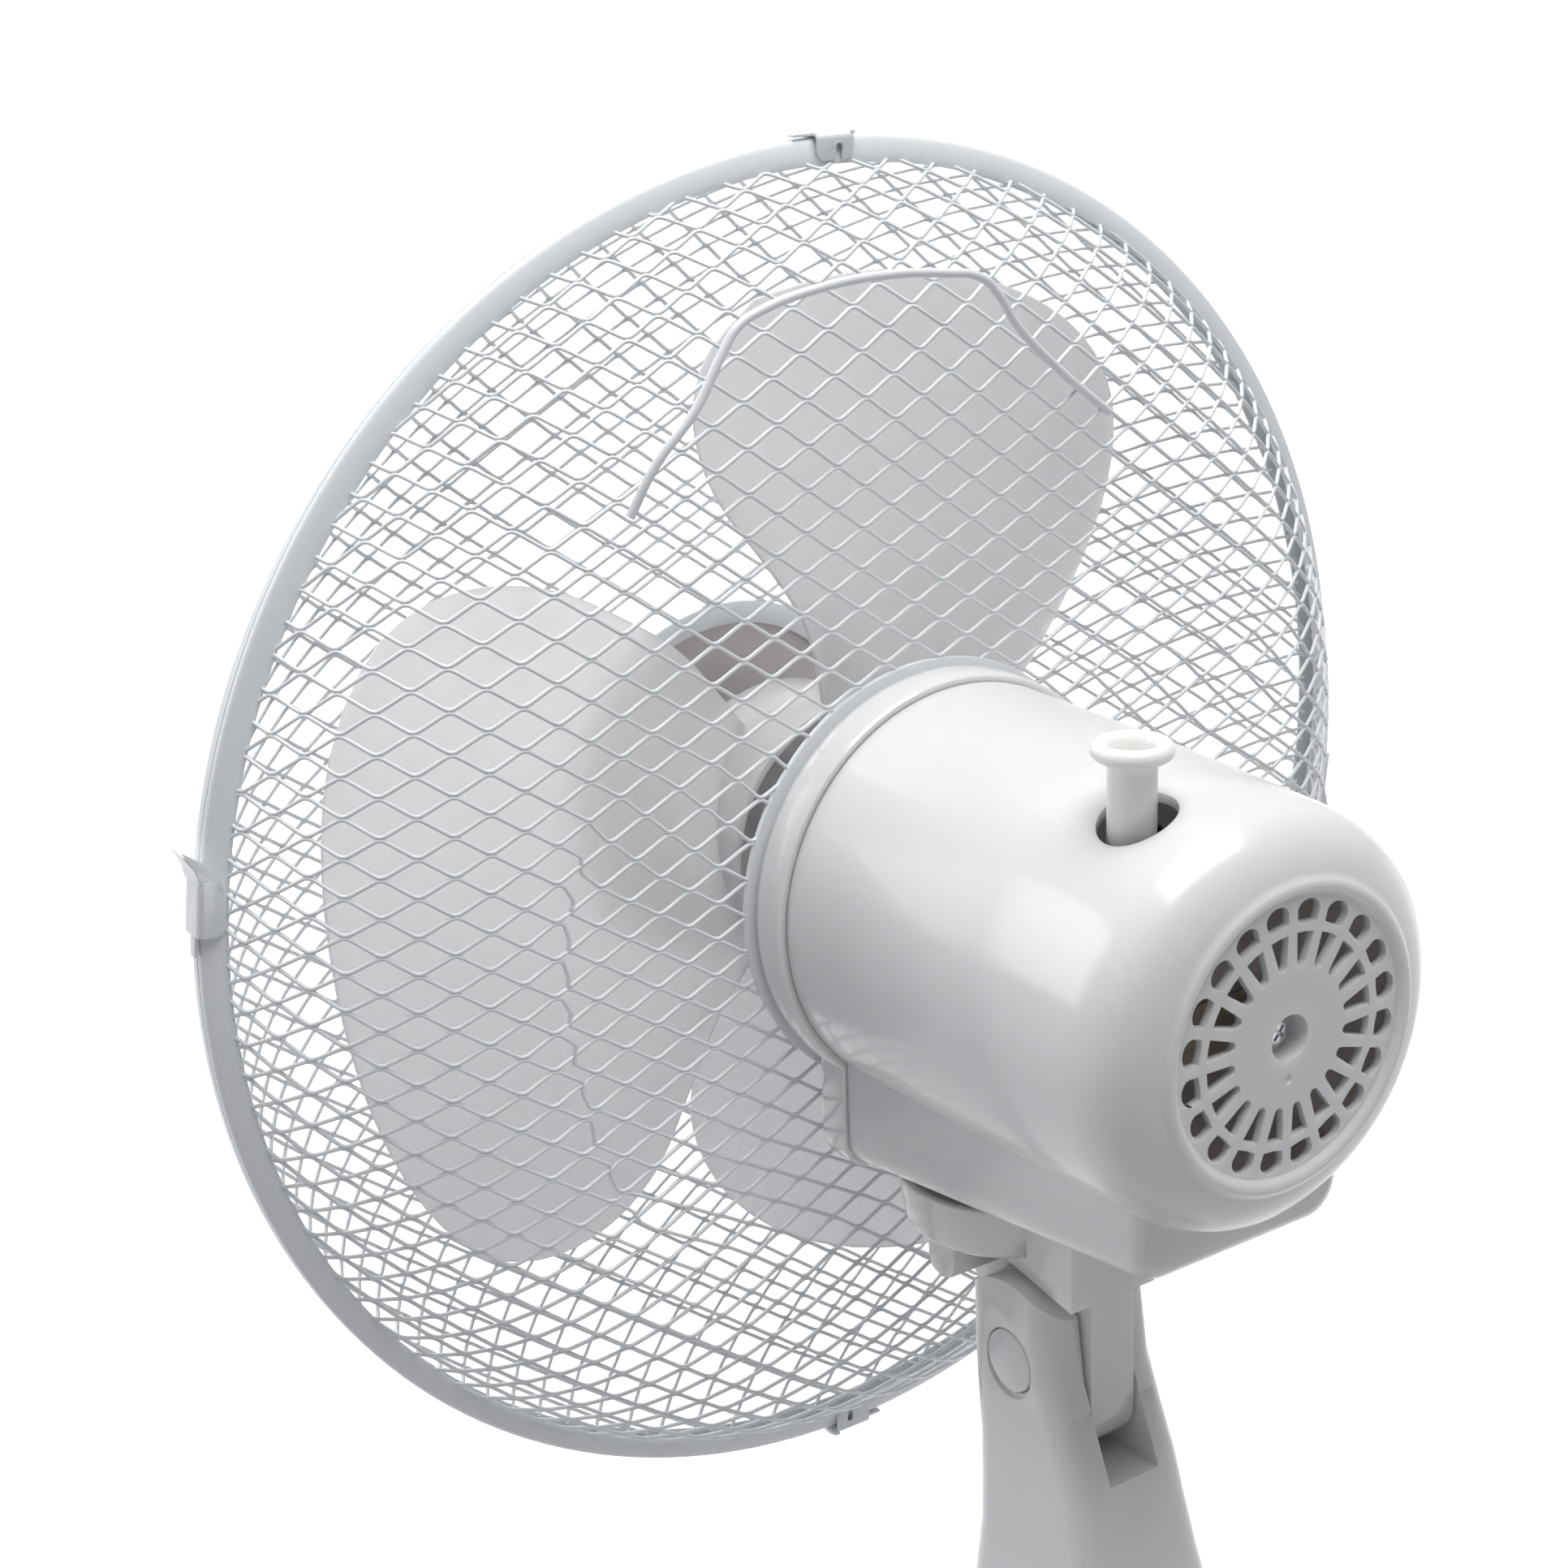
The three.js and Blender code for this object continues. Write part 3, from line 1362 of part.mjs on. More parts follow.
function coverProfile(inset) {
  const top = BASE_TOP - inset;
  return [
    [BASE_R - inset, inset > 0 ? 0 : BASE_EDGE_Z],
    [BASE_R - 2 - inset, 22 - inset * 0.5],
    [BASE_R - 6 - inset, 29 - inset],
    [BASE_R - 15 - inset, top - 9],
    [BASE_R - 45, top - 3.2],
    [BASE_R - 70, top - 1],
    [0, top],
  ];
}

const KEY_PITCH = KEY_W + KEY_GAP;
const KEY_ROW = KEY_PITCH * KEY_COUNT + KEY_GAP;

function keyX(i) {
  return (i - (KEY_COUNT - 1) / 2) * KEY_PITCH;
}

function baseCover() {
  const outer = upright([[0, BASE_EDGE_Z], ...coverProfile(0)], ROUND, 0, BASE_Y);
  const hollow = upright([[0, 0], ...coverProfile(BASE_WALL)], ROUND, 0, BASE_Y);
  const reach = KEY_LEN / 2 + KEY_GAP;
  const well = block(-KEY_ROW / 2, KEY_ROW / 2, KEY_Y - reach, KEY_Y + reach, 0, BASE_TOP + CUT_DEPTH);
  const gland = crossY(GLAND_R + SEAT, BASE_Y + BASE_R - 12, BASE_Y + BASE_R + 2, GLAND_Z);
  return cut(outer, hollow, well, gland);
}

function crossY(r, y0, y1, z) {
  const g = drum(r, y0, y1, SMALL);
  g.translate(0, 0, z);
  return g;
}

function basePlate() {
  const z = FOOT_H;
  return post(BASE_R - BASE_WALL - PLATE_FIT, z, z + PLATE_T, ROUND, 0, BASE_Y);
}

function foot(angle) {
  const [x, y] = polar(FOOT_CIRCLE, angle);
  return upright(
    [[0, 0], [FOOT_R - 1, 0], [FOOT_R, 1], [FOOT_R, FOOT_H - SEAT], [0, FOOT_H - SEAT]],
    SMALL,
    x,
    BASE_Y + y,
  );
}

// Key with a sloping finger face, its skirt in the well and its foot over the switches.
function key(i) {
  const half = KEY_LEN / 2;
  const front = KEY_Y - half;
  const back = KEY_Y + half;
  const top = KEY_Z + KEY_H;
  const profile = [
    [front, KEY_Z],
    [back, KEY_Z],
    [back, top - 1],
    [back - 1.5, top],
    [back - 6, top - 0.4],
    [front + 4, top - 6.5],
    [front + 1, top - 7.2],
    [front, top - 9],
  ];
  return sideProfile(profile, keyX(i) - KEY_W / 2, keyX(i) + KEY_W / 2);
}

function switchBlock() {
  const half = KEY_LEN / 2;
  const z = FOOT_H + PLATE_T + SEAT;
  const end = KEY_ROW / 2 - 2;
  const body = block(-end, end, KEY_Y - half + 2, KEY_Y + half - 2, z, SWITCH_TOP);
  const plungers = Array.from({ length: KEY_COUNT }, (_, i) =>
    post(3, SWITCH_TOP - 1, KEY_Z - KEY_TRAVEL - SEAT, 12, keyX(i), KEY_Y),
  );
  return join(body, ...plungers);
}

function cordGland() {
  const y = BASE_Y + BASE_R;
  const body = crossY(GLAND_R, y - 10, y - 1, GLAND_Z);
  const bore = crossY(GLAND_BORE, y - 12, y + 3, GLAND_Z);
  return cut(body, bore);
}

// ---- Assembly -----------------------------------------------------------------------------

const group = new THREE.Group();
const head = new THREE.Group();
const tilt = new THREE.Group();
head.position.set(0, HEAD_Y, HEAD_Z);
tilt.position.set(0, PIVOT_Y, PIVOT_Z);
group.add(head, tilt);

piece(head, 'rear_grille', rearGrille(), MATERIAL.grille);
piece(head, 'rear_rim_ring', rimRing(RIM_SPLIT), MATERIAL.grille);
piece(head, 'front_grille', frontGrille(), MATERIAL.grille);
piece(head, 'front_rim_ring', rimRing(FRONT_RIM_Y), MATERIAL.grille);
piece(head, 'front_badge_plate', badgePlate(), MATERIAL.plate);
CLIP_PLACES.forEach(([angle, side], i) => {
  const g = clip(side);
  g.rotateY(rad(90 - angle));
  piece(head, `grille_clip_${i + 1}`, g, MATERIAL.grille);
});
piece(head, 'grille_handle', handle(), MATERIAL.grille);
piece(head, 'fan_blade', fan(), MATERIAL.blade);
piece(head, 'blade_nut', bladeNut(), MATERIAL.casing);
piece(head, 'motor_shaft', motorShaft(), MATERIAL.steel);
piece(head, 'motor_rotor', rotor(), MATERIAL.lamination);
piece(head, 'motor_stator', stator(), MATERIAL.lamination);
piece(head, 'winding_front', winding(STATOR_FRONT - SEAT - WINDING_LEN), MATERIAL.copper);
piece(head, 'winding_rear', winding(STATOR_FRONT + STATOR_LEN + SEAT), MATERIAL.copper);
piece(head, 'front_end_bracket', endBracket(BRACKET_FRONT, 1), MATERIAL.steel);
piece(head, 'rear_end_bracket', endBracket(BRACKET_BACK, -1), MATERIAL.steel);
piece(head, 'front_bearing', bearing(BRACKET_FRONT), MATERIAL.brass);
piece(head, 'rear_bearing', bearing(BRACKET_BACK - BEARING_LEN), MATERIAL.brass);
piece(head, 'motor_front_cover', motorFrontCover(), MATERIAL.casing);
piece(head, 'motor_rear_cover', motorRearCover(), MATERIAL.casing);
piece(head, 'rear_cover_screw', rearScrew(), MATERIAL.steel);
piece(head, 'grille_lock_nut', lockNut(), MATERIAL.casing);
piece(head, 'gearbox_housing', gearbox(), MATERIAL.gear);
piece(head, 'gearbox_cover', gearboxCover(), MATERIAL.steel);
piece(head, 'oscillation_worm', worm(), MATERIAL.brass);
piece(head, 'worm_wheel', wormWheel(), MATERIAL.gear);
piece(head, 'crank_spindle', crankSpindle(), MATERIAL.steel);
piece(head, 'link_rod', linkRod(), MATERIAL.steel);
piece(head, 'oscillation_knob', knob(), MATERIAL.knob);
piece(head, 'motor_yoke', yoke(), MATERIAL.steel);
piece(head, 'swivel_pin', swivelPin(), MATERIAL.steel);
piece(head, 'neck_bracket', neckBracket(), MATERIAL.casing);
piece(tilt, 'tilt_bolt', tiltBolt(), MATERIAL.steel);
piece(tilt, 'tilt_nut', tiltNut(), MATERIAL.steel);
piece(tilt, 'pivot_cap_right', pivotCap(1), MATERIAL.casing);
piece(tilt, 'pivot_cap_left', pivotCap(-1), MATERIAL.casing);
piece(group, 'column', column(), MATERIAL.casing);
piece(group, 'base_cover', baseCover(), MATERIAL.casing);
piece(group, 'base_plate', basePlate(), MATERIAL.casing);
[45, 135, 225, 315].forEach((angle, i) => {
  piece(group, `foot_${i + 1}`, foot(angle), MATERIAL.rubber);
});
for (let i = 0; i < KEY_COUNT; i += 1) {
  piece(group, `speed_key_${i + 1}`, key(i), MATERIAL.knob);
}
piece(group, 'switch_block', switchBlock(), MATERIAL.board);
piece(group, 'cord_gland', cordGland(), MATERIAL.board);

export default group;
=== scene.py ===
"""Looks of a white pedestal fan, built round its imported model.

Everything is in metres: +Z up, the fan blows along -Y, and the floor is z = 0. Sizes in the
sections below are in millimetres, mostly from the centre of the grille's rim.
"""

import json
import math

import bpy
from mathutils import Matrix, Vector


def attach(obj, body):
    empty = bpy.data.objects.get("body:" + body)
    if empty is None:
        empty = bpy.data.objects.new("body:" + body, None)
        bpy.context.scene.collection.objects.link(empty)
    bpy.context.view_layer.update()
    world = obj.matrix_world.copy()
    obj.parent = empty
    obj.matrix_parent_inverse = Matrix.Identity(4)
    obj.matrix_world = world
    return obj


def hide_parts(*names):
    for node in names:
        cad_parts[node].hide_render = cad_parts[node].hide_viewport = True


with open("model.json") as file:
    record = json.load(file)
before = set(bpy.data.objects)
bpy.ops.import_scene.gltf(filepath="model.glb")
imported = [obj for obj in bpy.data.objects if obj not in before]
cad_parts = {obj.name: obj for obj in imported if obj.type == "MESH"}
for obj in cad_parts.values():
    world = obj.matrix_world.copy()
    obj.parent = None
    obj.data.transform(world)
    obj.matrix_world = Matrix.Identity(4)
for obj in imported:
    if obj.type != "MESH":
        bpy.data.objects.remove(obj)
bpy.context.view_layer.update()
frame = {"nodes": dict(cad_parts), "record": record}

# ---- Places and outlines ------------------------------------------------------------------

MM = 0.001

# Main places of the fan, in metres.
HEAD = Vector((0, -0.067, 0.322))  # rim plane on the fan axis
SWIVEL = HEAD + Vector((0, 0.069, 0))
TILT = HEAD + Vector((0, 0.090, -0.1075))
CRANK = HEAD + Vector((0.0185, 0.1345, 0))
BASE_CENTRE = Vector((0, 0.011, 0))


def at_head(x, y, z):
    """Place given in mm from the centre of the rim: across, behind and above it."""
    return HEAD + Vector((x, y, z)) * MM


def polar(r, degrees):
    """Place at a radius and an angle."""
    return r * math.cos(math.radians(degrees)), r * math.sin(math.radians(degrees))


def arc(cx, cy, r, start, end, steps):
    """Round stretch of an outline, from one angle to another in degrees."""
    turns = [start + (end - start) * i / steps for i in range(steps + 1)]
    return [(cx + u, cy + v) for u, v in (polar(r, turn) for turn in turns)]


def oblong(x0, x1, y0, y1):
    return [(x0, y0), (x1, y0), (x1, y1), (x0, y1)]


def trough(half, low, high, corner):
    """Outline of a box with two rounded lower corners."""
    outline = arc(half - corner, low + corner, corner, 0, -90, 8)
    outline += arc(corner - half, low + corner, corner, -90, -180, 8)
    return [(half, high)] + outline + [(-half, high)]


def disc_profile(r, low, high):
    """Profile of a plain solid cylinder, to be turned."""
    return [(0, low), (r, low), (r, high), (0, high)]


def ramp(x, start, end):
    """0 up to the start, 1 past the end, and an even slope between them."""
    return min(1, max(0, (x - start) / (end - start)))


# ---- Camera -------------------------------------------------------------------------------

VIEW_TURN, VIEW_RISE, VIEW_ROLL = (math.radians(a) for a in (146.23, 19.34, 2.14))
VIEW_AIM = at_head(15.95, 0, 16.11)
VIEW_DISTANCE = 0.67554
LENS = 61.2  # mm, with a sensor 36 mm wide


def set_camera():
    """Three-quarter view of the back, from above, tipped a little to one side."""
    flat = math.cos(VIEW_RISE)
    back = Vector((math.sin(VIEW_TURN) * flat, -math.cos(VIEW_TURN) * flat, math.sin(VIEW_RISE)))
    right = Vector((0, 0, 1)).cross(back).normalized()
    up = back.cross(right)
    rolled_right = math.cos(VIEW_ROLL) * right - math.sin(VIEW_ROLL) * up
    rolled_up = math.sin(VIEW_ROLL) * right + math.cos(VIEW_ROLL) * up
    place = Matrix((rolled_right, rolled_up, back)).transposed().to_4x4()
    place.translation = VIEW_AIM + back * VIEW_DISTANCE
    data = bpy.data.cameras.new("camera")
    data.sensor_width = 36
    data.lens = LENS
    data.clip_start = 0.01
    camera = bpy.data.objects.new("camera", data)
    camera.matrix_world = place
    bpy.context.scene.collection.objects.link(camera)
    bpy.context.scene.camera = camera
    bpy.context.scene.view_settings.view_transform = "Standard"


# ---- Studio -------------------------------------------------------------------------------

WORLD_COLOUR = (0.94, 0.95, 1.0, 1)
WORLD_LIGHT = 0.2
BACKDROP = (0.8, 0.8, 0.8, 1)
FLOOR_COLOUR = (0.42, 0.42, 0.43, 1)
FLOOR_LIFT = 0.74  # white that the floor adds for the eye near the fan; it grows to 1 far away
FLOOR_NEAR, FLOOR_FAR = 0.35, 1.3

# Name, place, width and height in metres, watts and colour; every lamp points at the rim's centre.
LAMPS = (
    ("overhead", (0.0, 0.25, 1.8), (1.2, 1.2), 26, (1.0, 0.995, 0.99)),
    ("left_window", (1.3, -1.0, 0.95), (0.8, 1.1), 9, (0.97, 0.98, 1.0)),
    ("front_glow", (-0.2, -1.6, 0.9), (1.4, 1.2), 16, (1.0, 1.0, 1.0)),
)


def add_lamp(name, place, size, watts, colour):
    data = bpy.data.lights.new(name, "AREA")
    data.shape = "RECTANGLE"
    data.size, data.size_y = size
    data.energy = watts
    data.color = colour
    lamp = bpy.data.objects.new(name, data)
    lamp.location = place
    lamp.rotation_euler = (HEAD - Vector(place)).to_track_quat("-Z", "Y").to_euler()
    bpy.context.scene.collection.objects.link(lamp)


def math_node(tree, operation, first, second):
    """Adds a step of maths on two sockets, and returns its result."""
    node = tree.nodes.new("ShaderNodeMath")
    node.operation = operation
    tree.links.new(first, node.inputs[0])
    tree.links.new(second, node.inputs[1])
    return node.outputs[0]


def seen_by_eye(tree):
    """1 on what the eye, gloss and glass see, and 0 in the lighting."""
    path = tree.nodes.new("ShaderNodeLightPath").outputs
    seen = math_node(tree, "MAXIMUM", path["Is Camera Ray"], path["Is Glossy Ray"])
    return math_node(tree, "MAXIMUM", seen, path["Is Transmission Ray"])


def set_world():
    """Near white to the eye, and a weak cool light on the fan."""
    world = bpy.data.worlds.new("studio")
    world.use_nodes = True
    bpy.context.scene.world = world
    tree = world.node_tree
    tree.nodes.clear()
    out = tree.nodes.new("ShaderNodeOutputWorld")
    soft = tree.nodes.new("ShaderNodeBackground")
    soft.inputs["Color"].default_value = WORLD_COLOUR
    soft.inputs["Strength"].default_value = WORLD_LIGHT
    backdrop = tree.nodes.new("ShaderNodeBackground")
    backdrop.inputs["Color"].default_value = BACKDROP
    mix = tree.nodes.new("ShaderNodeMixShader")
    tree.links.new(seen_by_eye(tree), mix.inputs["Fac"])
    tree.links.new(soft.outputs[0], mix.inputs[1])
    tree.links.new(backdrop.outputs[0], mix.inputs[2])
    tree.links.new(mix.outputs[0], out.inputs["Surface"])


def lay_floor():
    """Matt floor that keeps the fan's shadow and fades into the white far away."""
    pick()
    bpy.ops.mesh.primitive_plane_add(size=30, location=(0, 0, 0))
    floor = bpy.context.object
    floor.name = "floor"
    material = bpy.data.materials.new("pale_floor")
    material.use_nodes = True
    tree = material.node_tree
    shader = tree.nodes["Principled BSDF"]
    shader.inputs["Base Color"].default_value = FLOOR_COLOUR
    shader.inputs["Roughness"].default_value = 0.9
    place = tree.nodes.new("ShaderNodeTexCoord")
    distance = tree.nodes.new("ShaderNodeVectorMath")
    distance.operation = "LENGTH"
    tree.links.new(place.outputs["Object"], distance.inputs[0])
    growth = tree.nodes.new("ShaderNodeMapRange")
    growth.interpolation_type = "SMOOTHSTEP"
    limits = {"From Min": FLOOR_NEAR, "From Max": FLOOR_FAR, "To Min": FLOOR_LIFT, "To Max": 1.0}
    for socket, value in limits.items():
        growth.inputs[socket].default_value = value
    tree.links.new(distance.outputs["Value"], growth.inputs["Value"])
    lift = math_node(tree, "MULTIPLY", seen_by_eye(tree), growth.outputs["Result"])
    shader.inputs["Emission Color"].default_value = (1, 1, 1, 1)
    tree.links.new(lift, shader.inputs["Emission Strength"])
    floor.data.materials.append(material)


def light_studio():
    set_world()
    lay_floor()
    for lamp in LAMPS:
        add_lamp(*lamp)


# ---- Finishes -----------------------------------------------------------------------------


def make_surface_life():
    """Group: faint colour drift, roughness drift and fine waviness of a moulded or painted skin."""
    group = bpy.data.node_groups.new("surface_life", "ShaderNodeTree")
    face = group.interface
    for name in ("Colour", "Shade"):
        face.new_socket(name, in_out="INPUT", socket_type="NodeSocketColor")
    for name in ("Drift", "Roughness", "Patch Scale", "Grain Scale", "Relief"):
        face.new_socket(name, in_out="INPUT", socket_type="NodeSocketFloat")
    for name, kind in (("Colour", "Color"), ("Roughness", "Float"), ("Normal", "Vector")):
        face.new_socket(name, in_out="OUTPUT", socket_type="NodeSocket" + kind)
    new, link = group.nodes.new, group.links.new
    source, sink = new("NodeGroupInput"), new("NodeGroupOutput")
    place = new("ShaderNodeTexCoord")
    patch, grain = new("ShaderNodeTexNoise"), new("ShaderNodeTexNoise")
    for noise, scale, detail in ((patch, "Patch Scale", 3), (grain, "Grain Scale", 2)):
        noise.inputs["Detail"].default_value = detail
        link(place.outputs["Object"], noise.inputs["Vector"])
        link(source.outputs[scale], noise.inputs["Scale"])
    tint = new("ShaderNodeMix")
    tint.data_type = "RGBA"
    link(math_node(group, "MULTIPLY", patch.outputs["Fac"], source.outputs["Drift"]), tint.inputs["Factor"])
    link(source.outputs["Colour"], tint.inputs["A"])
    link(source.outputs["Shade"], tint.inputs["B"])
    link(tint.outputs["Result"], sink.inputs["Colour"])
    gloss = new("ShaderNodeMath")
    gloss.operation = "MULTIPLY_ADD"
    gloss.inputs[1].default_value = 0.08
    link(grain.outputs["Fac"], gloss.inputs[0])
    link(source.outputs["Roughness"], gloss.inputs[2])
    link(gloss.outputs[0], sink.inputs["Roughness"])
    bump = new("ShaderNodeBump")
    bump.inputs["Distance"].default_value = 0.0002
    link(source.outputs["Relief"], bump.inputs["Strength"])
    link(grain.outputs["Fac"], bump.inputs["Height"])
    link(bump.outputs["Normal"], sink.inputs["Normal"])
    return group


SURFACE_LIFE = make_surface_life()


def finish(name, colour, shade, roughness, patch=14, grain=900, relief=0.1, **sockets):
    """Material with two near colours; `sockets` are more values of its shader."""
    material = bpy.data.materials.new(name)
    material.use_nodes = True
    tree = material.node_tree
    shader = tree.nodes["Principled BSDF"]
    life = tree.nodes.new("ShaderNodeGroup")
    life.node_tree = SURFACE_LIFE
    values = {
        "Colour": (*colour, 1), "Shade": (*shade, 1), "Drift": 0.3, "Roughness": roughness,
        "Patch Scale": patch, "Grain Scale": grain, "Relief": relief,
    }
    for socket, value in values.items():
        life.inputs[socket].default_value = value
    for output, socket in (("Colour", "Base Color"), ("Roughness", "Roughness"), ("Normal", "Normal")):
        tree.links.new(life.outputs[output], shader.inputs[socket])
    for socket, value in sockets.items():
        shader.inputs[socket.replace("_", " ")].default_value = value
    return material


CASING = finish(
    "casing_plastic", (0.80, 0.795, 0.80), (0.77, 0.765, 0.775), 0.2, relief=0.06,
    Coat_Weight=0.3, Coat_Roughness=0.08,
    Subsurface_Weight=0.5, Subsurface_Scale=0.006, Subsurface_Radius=(1, 0.88, 0.82),
)
ENAMEL = finish(
    "white_enamel", (0.785, 0.81, 0.825), (0.73, 0.755, 0.77), 0.28, patch=40, relief=0.15,
    Coat_Weight=0.2, Coat_Roughness=0.15,
)
BLADE = finish(
    "blade_plastic", (0.90, 0.90, 0.91), (0.86, 0.86, 0.87), 0.3, patch=9, relief=0.05,
    Transmission_Weight=0.45, IOR=1.4,
)
KNOB = finish(
    "knob_plastic", (0.88, 0.87, 0.85), (0.85, 0.84, 0.82), 0.26, relief=0.05,
    Subsurface_Weight=0.6, Subsurface_Scale=0.006, Subsurface_Radius=(1, 0.95, 0.9),
)
ALLOY = finish(
    "satin_alloy", (0.60, 0.56, 0.54), (0.55, 0.51, 0.49), 0.3, grain=500, relief=0.08, Metallic=0.25,
)
STEEL = finish(
    "zinc_steel", (0.56, 0.57, 0.59), (0.42, 0.43, 0.45), 0.28, grain=600, relief=0.25, Metallic=1.0,
)
IRON = finish(
    "laminated_iron", (0.20, 0.20, 0.21), (0.12, 0.12, 0.13), 0.42, grain=700, relief=0.4, Metallic=0.8,
)
COPPER = finish(
    "varnished_copper", (0.42, 0.20, 0.10), (0.30, 0.13, 0.06), 0.3, grain=400, relief=0.6, Metallic=0.7,
)
BRASS = finish("turned_brass", (0.62, 0.48, 0.24), (0.50, 0.37, 0.18), 0.3, Metallic=1.0)
NYLON = finish("cream_nylon", (0.62, 0.55, 0.42), (0.50, 0.42, 0.30), 0.4, patch=50)
BLACK = finish("black_moulding", (0.03, 0.03, 0.033), (0.02, 0.02, 0.022), 0.45, relief=0.3)
RUBBER = finish("foot_rubber", (0.06, 0.063, 0.066), (0.04, 0.042, 0.045), 0.75, relief=0.5)

SLOT_FINISH = {
    "casing": CASING,
    "grille": ENAMEL,
    "blade": BLADE,
    "knob": KNOB,
    "plate": ALLOY,
    "steel": STEEL,
    "lamination": IRON,
    "copper": COPPER,
    "brass": BRASS,
    "gear": NYLON,
    "board": BLACK,
    "rubber": RUBBER,
}


def dress_cad_nodes():
    """Each carried-over node takes the finish of its own material slot."""
    for part in frame["record"]["subparts"]:
        node = frame["nodes"][part["node"]]
        node.data.materials.clear()
        node.data.materials.append(SLOT_FINISH[part["material_slot"]])


# ---- Modelling helpers --------------------------------------------------------------------


def pick(*pieces):
    """Selects these pieces alone, with the first of them active."""
    bpy.ops.object.select_all(action="DESELECT")
    for piece in pieces:
        piece.select_set(True)
    if pieces:
        bpy.context.view_layer.objects.active = pieces[0]


def settle(piece, name, material, body, node, smooth=35):
    """Names a finished piece, smooths it, bakes its place into its mesh and hands it over."""
    piece.name = name
    piece.data.name = name
    pick(piece)
    bpy.ops.object.transform_apply(location=True, rotation=True, scale=True)
    bpy.ops.object.shade_smooth_by_angle(angle=math.radians(smooth))
    piece.data.materials.clear()
    piece.data.materials.append(material)
    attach(piece, body)
    if node:
        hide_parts(node)


def apply_modifiers(piece):
    pick(piece)
    for modifier in list(piece.modifiers):
        bpy.ops.object.modifier_apply(modifier=modifier.name)


def joined(pieces):
    """Joins pieces into the first of them."""
    pick(*pieces)
    bpy.ops.object.join()
    return bpy.context.object


def ring_of(points):
    """A closed loop of edges: a circle primitive pulled to the given places."""
    pick()
    bpy.ops.mesh.primitive_circle_add(vertices=len(points), radius=0.01)
    piece = bpy.context.object
    for vertex, place in zip(piece.data.vertices, points):
        vertex.co = piece.matrix_world.inverted() @ Vector(place)
    return piece


def spin_closed(points, centre, axis, steps):
    """Spins a closed profile right round an axis and closes the seam."""
    piece = ring_of(points)
    bpy.ops.object.mode_set(mode="EDIT")
    bpy.ops.mesh.select_all(action="SELECT")
    bpy.ops.mesh.spin(steps=steps, angle=2 * math.pi, center=centre, axis=axis)
    bpy.ops.mesh.select_all(action="SELECT")
    bpy.ops.mesh.remove_doubles(threshold=0.00001)
    bpy.ops.mesh.normals_make_consistent(inside=False)
    bpy.ops.object.mode_set(mode="OBJECT")
    return piece


def turned_about_fan(profile, steps=96):
    """Spins [radius, y] points, in mm behind the rim plane, about the fan axis."""
    return spin_closed([at_head(r, y, 0) for r, y in profile], HEAD, (0, 1, 0), steps)


def turned_upright(profile, centre, steps=64):
    """Spins [radius, z] points, in mm above the centre, about a vertical axis."""
    points = [centre + Vector((r, 0, z)) * MM for r, z in profile]
    return spin_closed(points, centre, (0, 0, 1), steps)


def bevel_edges(piece, width, segments=2, angle=30):
    modifier = piece.modifiers.new("edges", "BEVEL")
    modifier.width = width * MM
    modifier.segments = segments
    modifier.limit_method = "ANGLE"
    modifier.angle_limit = math.radians(angle)
    modifier.use_clamp_overlap = True
    apply_modifiers(piece)
    return piece


def carve(piece, tool, operation="DIFFERENCE"):
    """Cuts a tool out of a piece, or joins it on, and uses the tool up."""
    modifier = piece.modifiers.new("carve", "BOOLEAN")
    modifier.operation = operation
    modifier.solver = "EXACT"
    modifier.object = tool
    apply_modifiers(piece)
    bpy.data.objects.remove(tool, do_unlink=True)


def prism(outline, shift):
    """Fills a closed loop of places and extrudes it by one step."""
    piece = ring_of(outline)
    bpy.ops.object.mode_set(mode="EDIT")
    bpy.ops.mesh.select_all(action="SELECT")
    bpy.ops.mesh.edge_face_add()
    bpy.ops.mesh.extrude_region_move(TRANSFORM_OT_translate={"value": Vector(shift)})
    bpy.ops.mesh.select_all(action="SELECT")
    bpy.ops.mesh.normals_make_consistent(inside=False)
    bpy.ops.object.mode_set(mode="OBJECT")
    return piece


def plate_across(points, x0, x1, origin=HEAD):
    """Prism along x from an outline of (y, z) in mm from an origin."""
    outline = [origin + Vector((x0, y, z)) * MM for y, z in points]
    return prism(outline, ((x1 - x0) * MM, 0, 0))


def plate_behind(points, y, depth):
    """Prism along y from an outline of (x, z) in mm from the centre of the rim."""
    return prism([at_head(x, y, z) for x, z in points], (0, depth * MM, 0))


def skin(sections):
    """Bridges loops of places into one closed body."""
    piece = joined([ring_of(section) for section in sections])
    bpy.ops.object.mode_set(mode="EDIT")
    bpy.ops.mesh.select_all(action="SELECT")
    bpy.ops.mesh.bridge_edge_loops()
    bpy.ops.mesh.select_all(action="SELECT")
    bpy.ops.mesh.fill_holes(sides=0)
    bpy.ops.mesh.select_all(action="SELECT")
    bpy.ops.mesh.normals_make_consistent(inside=False)
    bpy.ops.object.mode_set(mode="OBJECT")
    return piece


def cylinder(r, length, middle, steps, turn=(0, 0, 0)):
    """Cylinder about z, unless it is turned."""
    pick()
    bpy.ops.mesh.primitive_cylinder_add(
        vertices=steps, radius=r * MM, depth=length * MM, location=middle, rotation=turn
    )
    piece = bpy.context.object
    bpy.ops.object.transform_apply(location=True, rotation=True, scale=True)
    return piece


def upright_drum(r, z0, z1, centre, steps=64):
    """Upright cylinder, heights in mm from the centre."""
    return cylinder(r, z1 - z0, centre + Vector((0, 0, (z0 + z1) / 2)) * MM, steps)


def wire_curve(name, radius, fineness):
    """Empty curve that gives its lines a round section."""
    data = bpy.data.curves.new(name, "CURVE")
    data.dimensions = "3D"
    data.bevel_depth = radius * MM
    data.bevel_resolution = fineness
    data.use_fill_caps = True
    return data


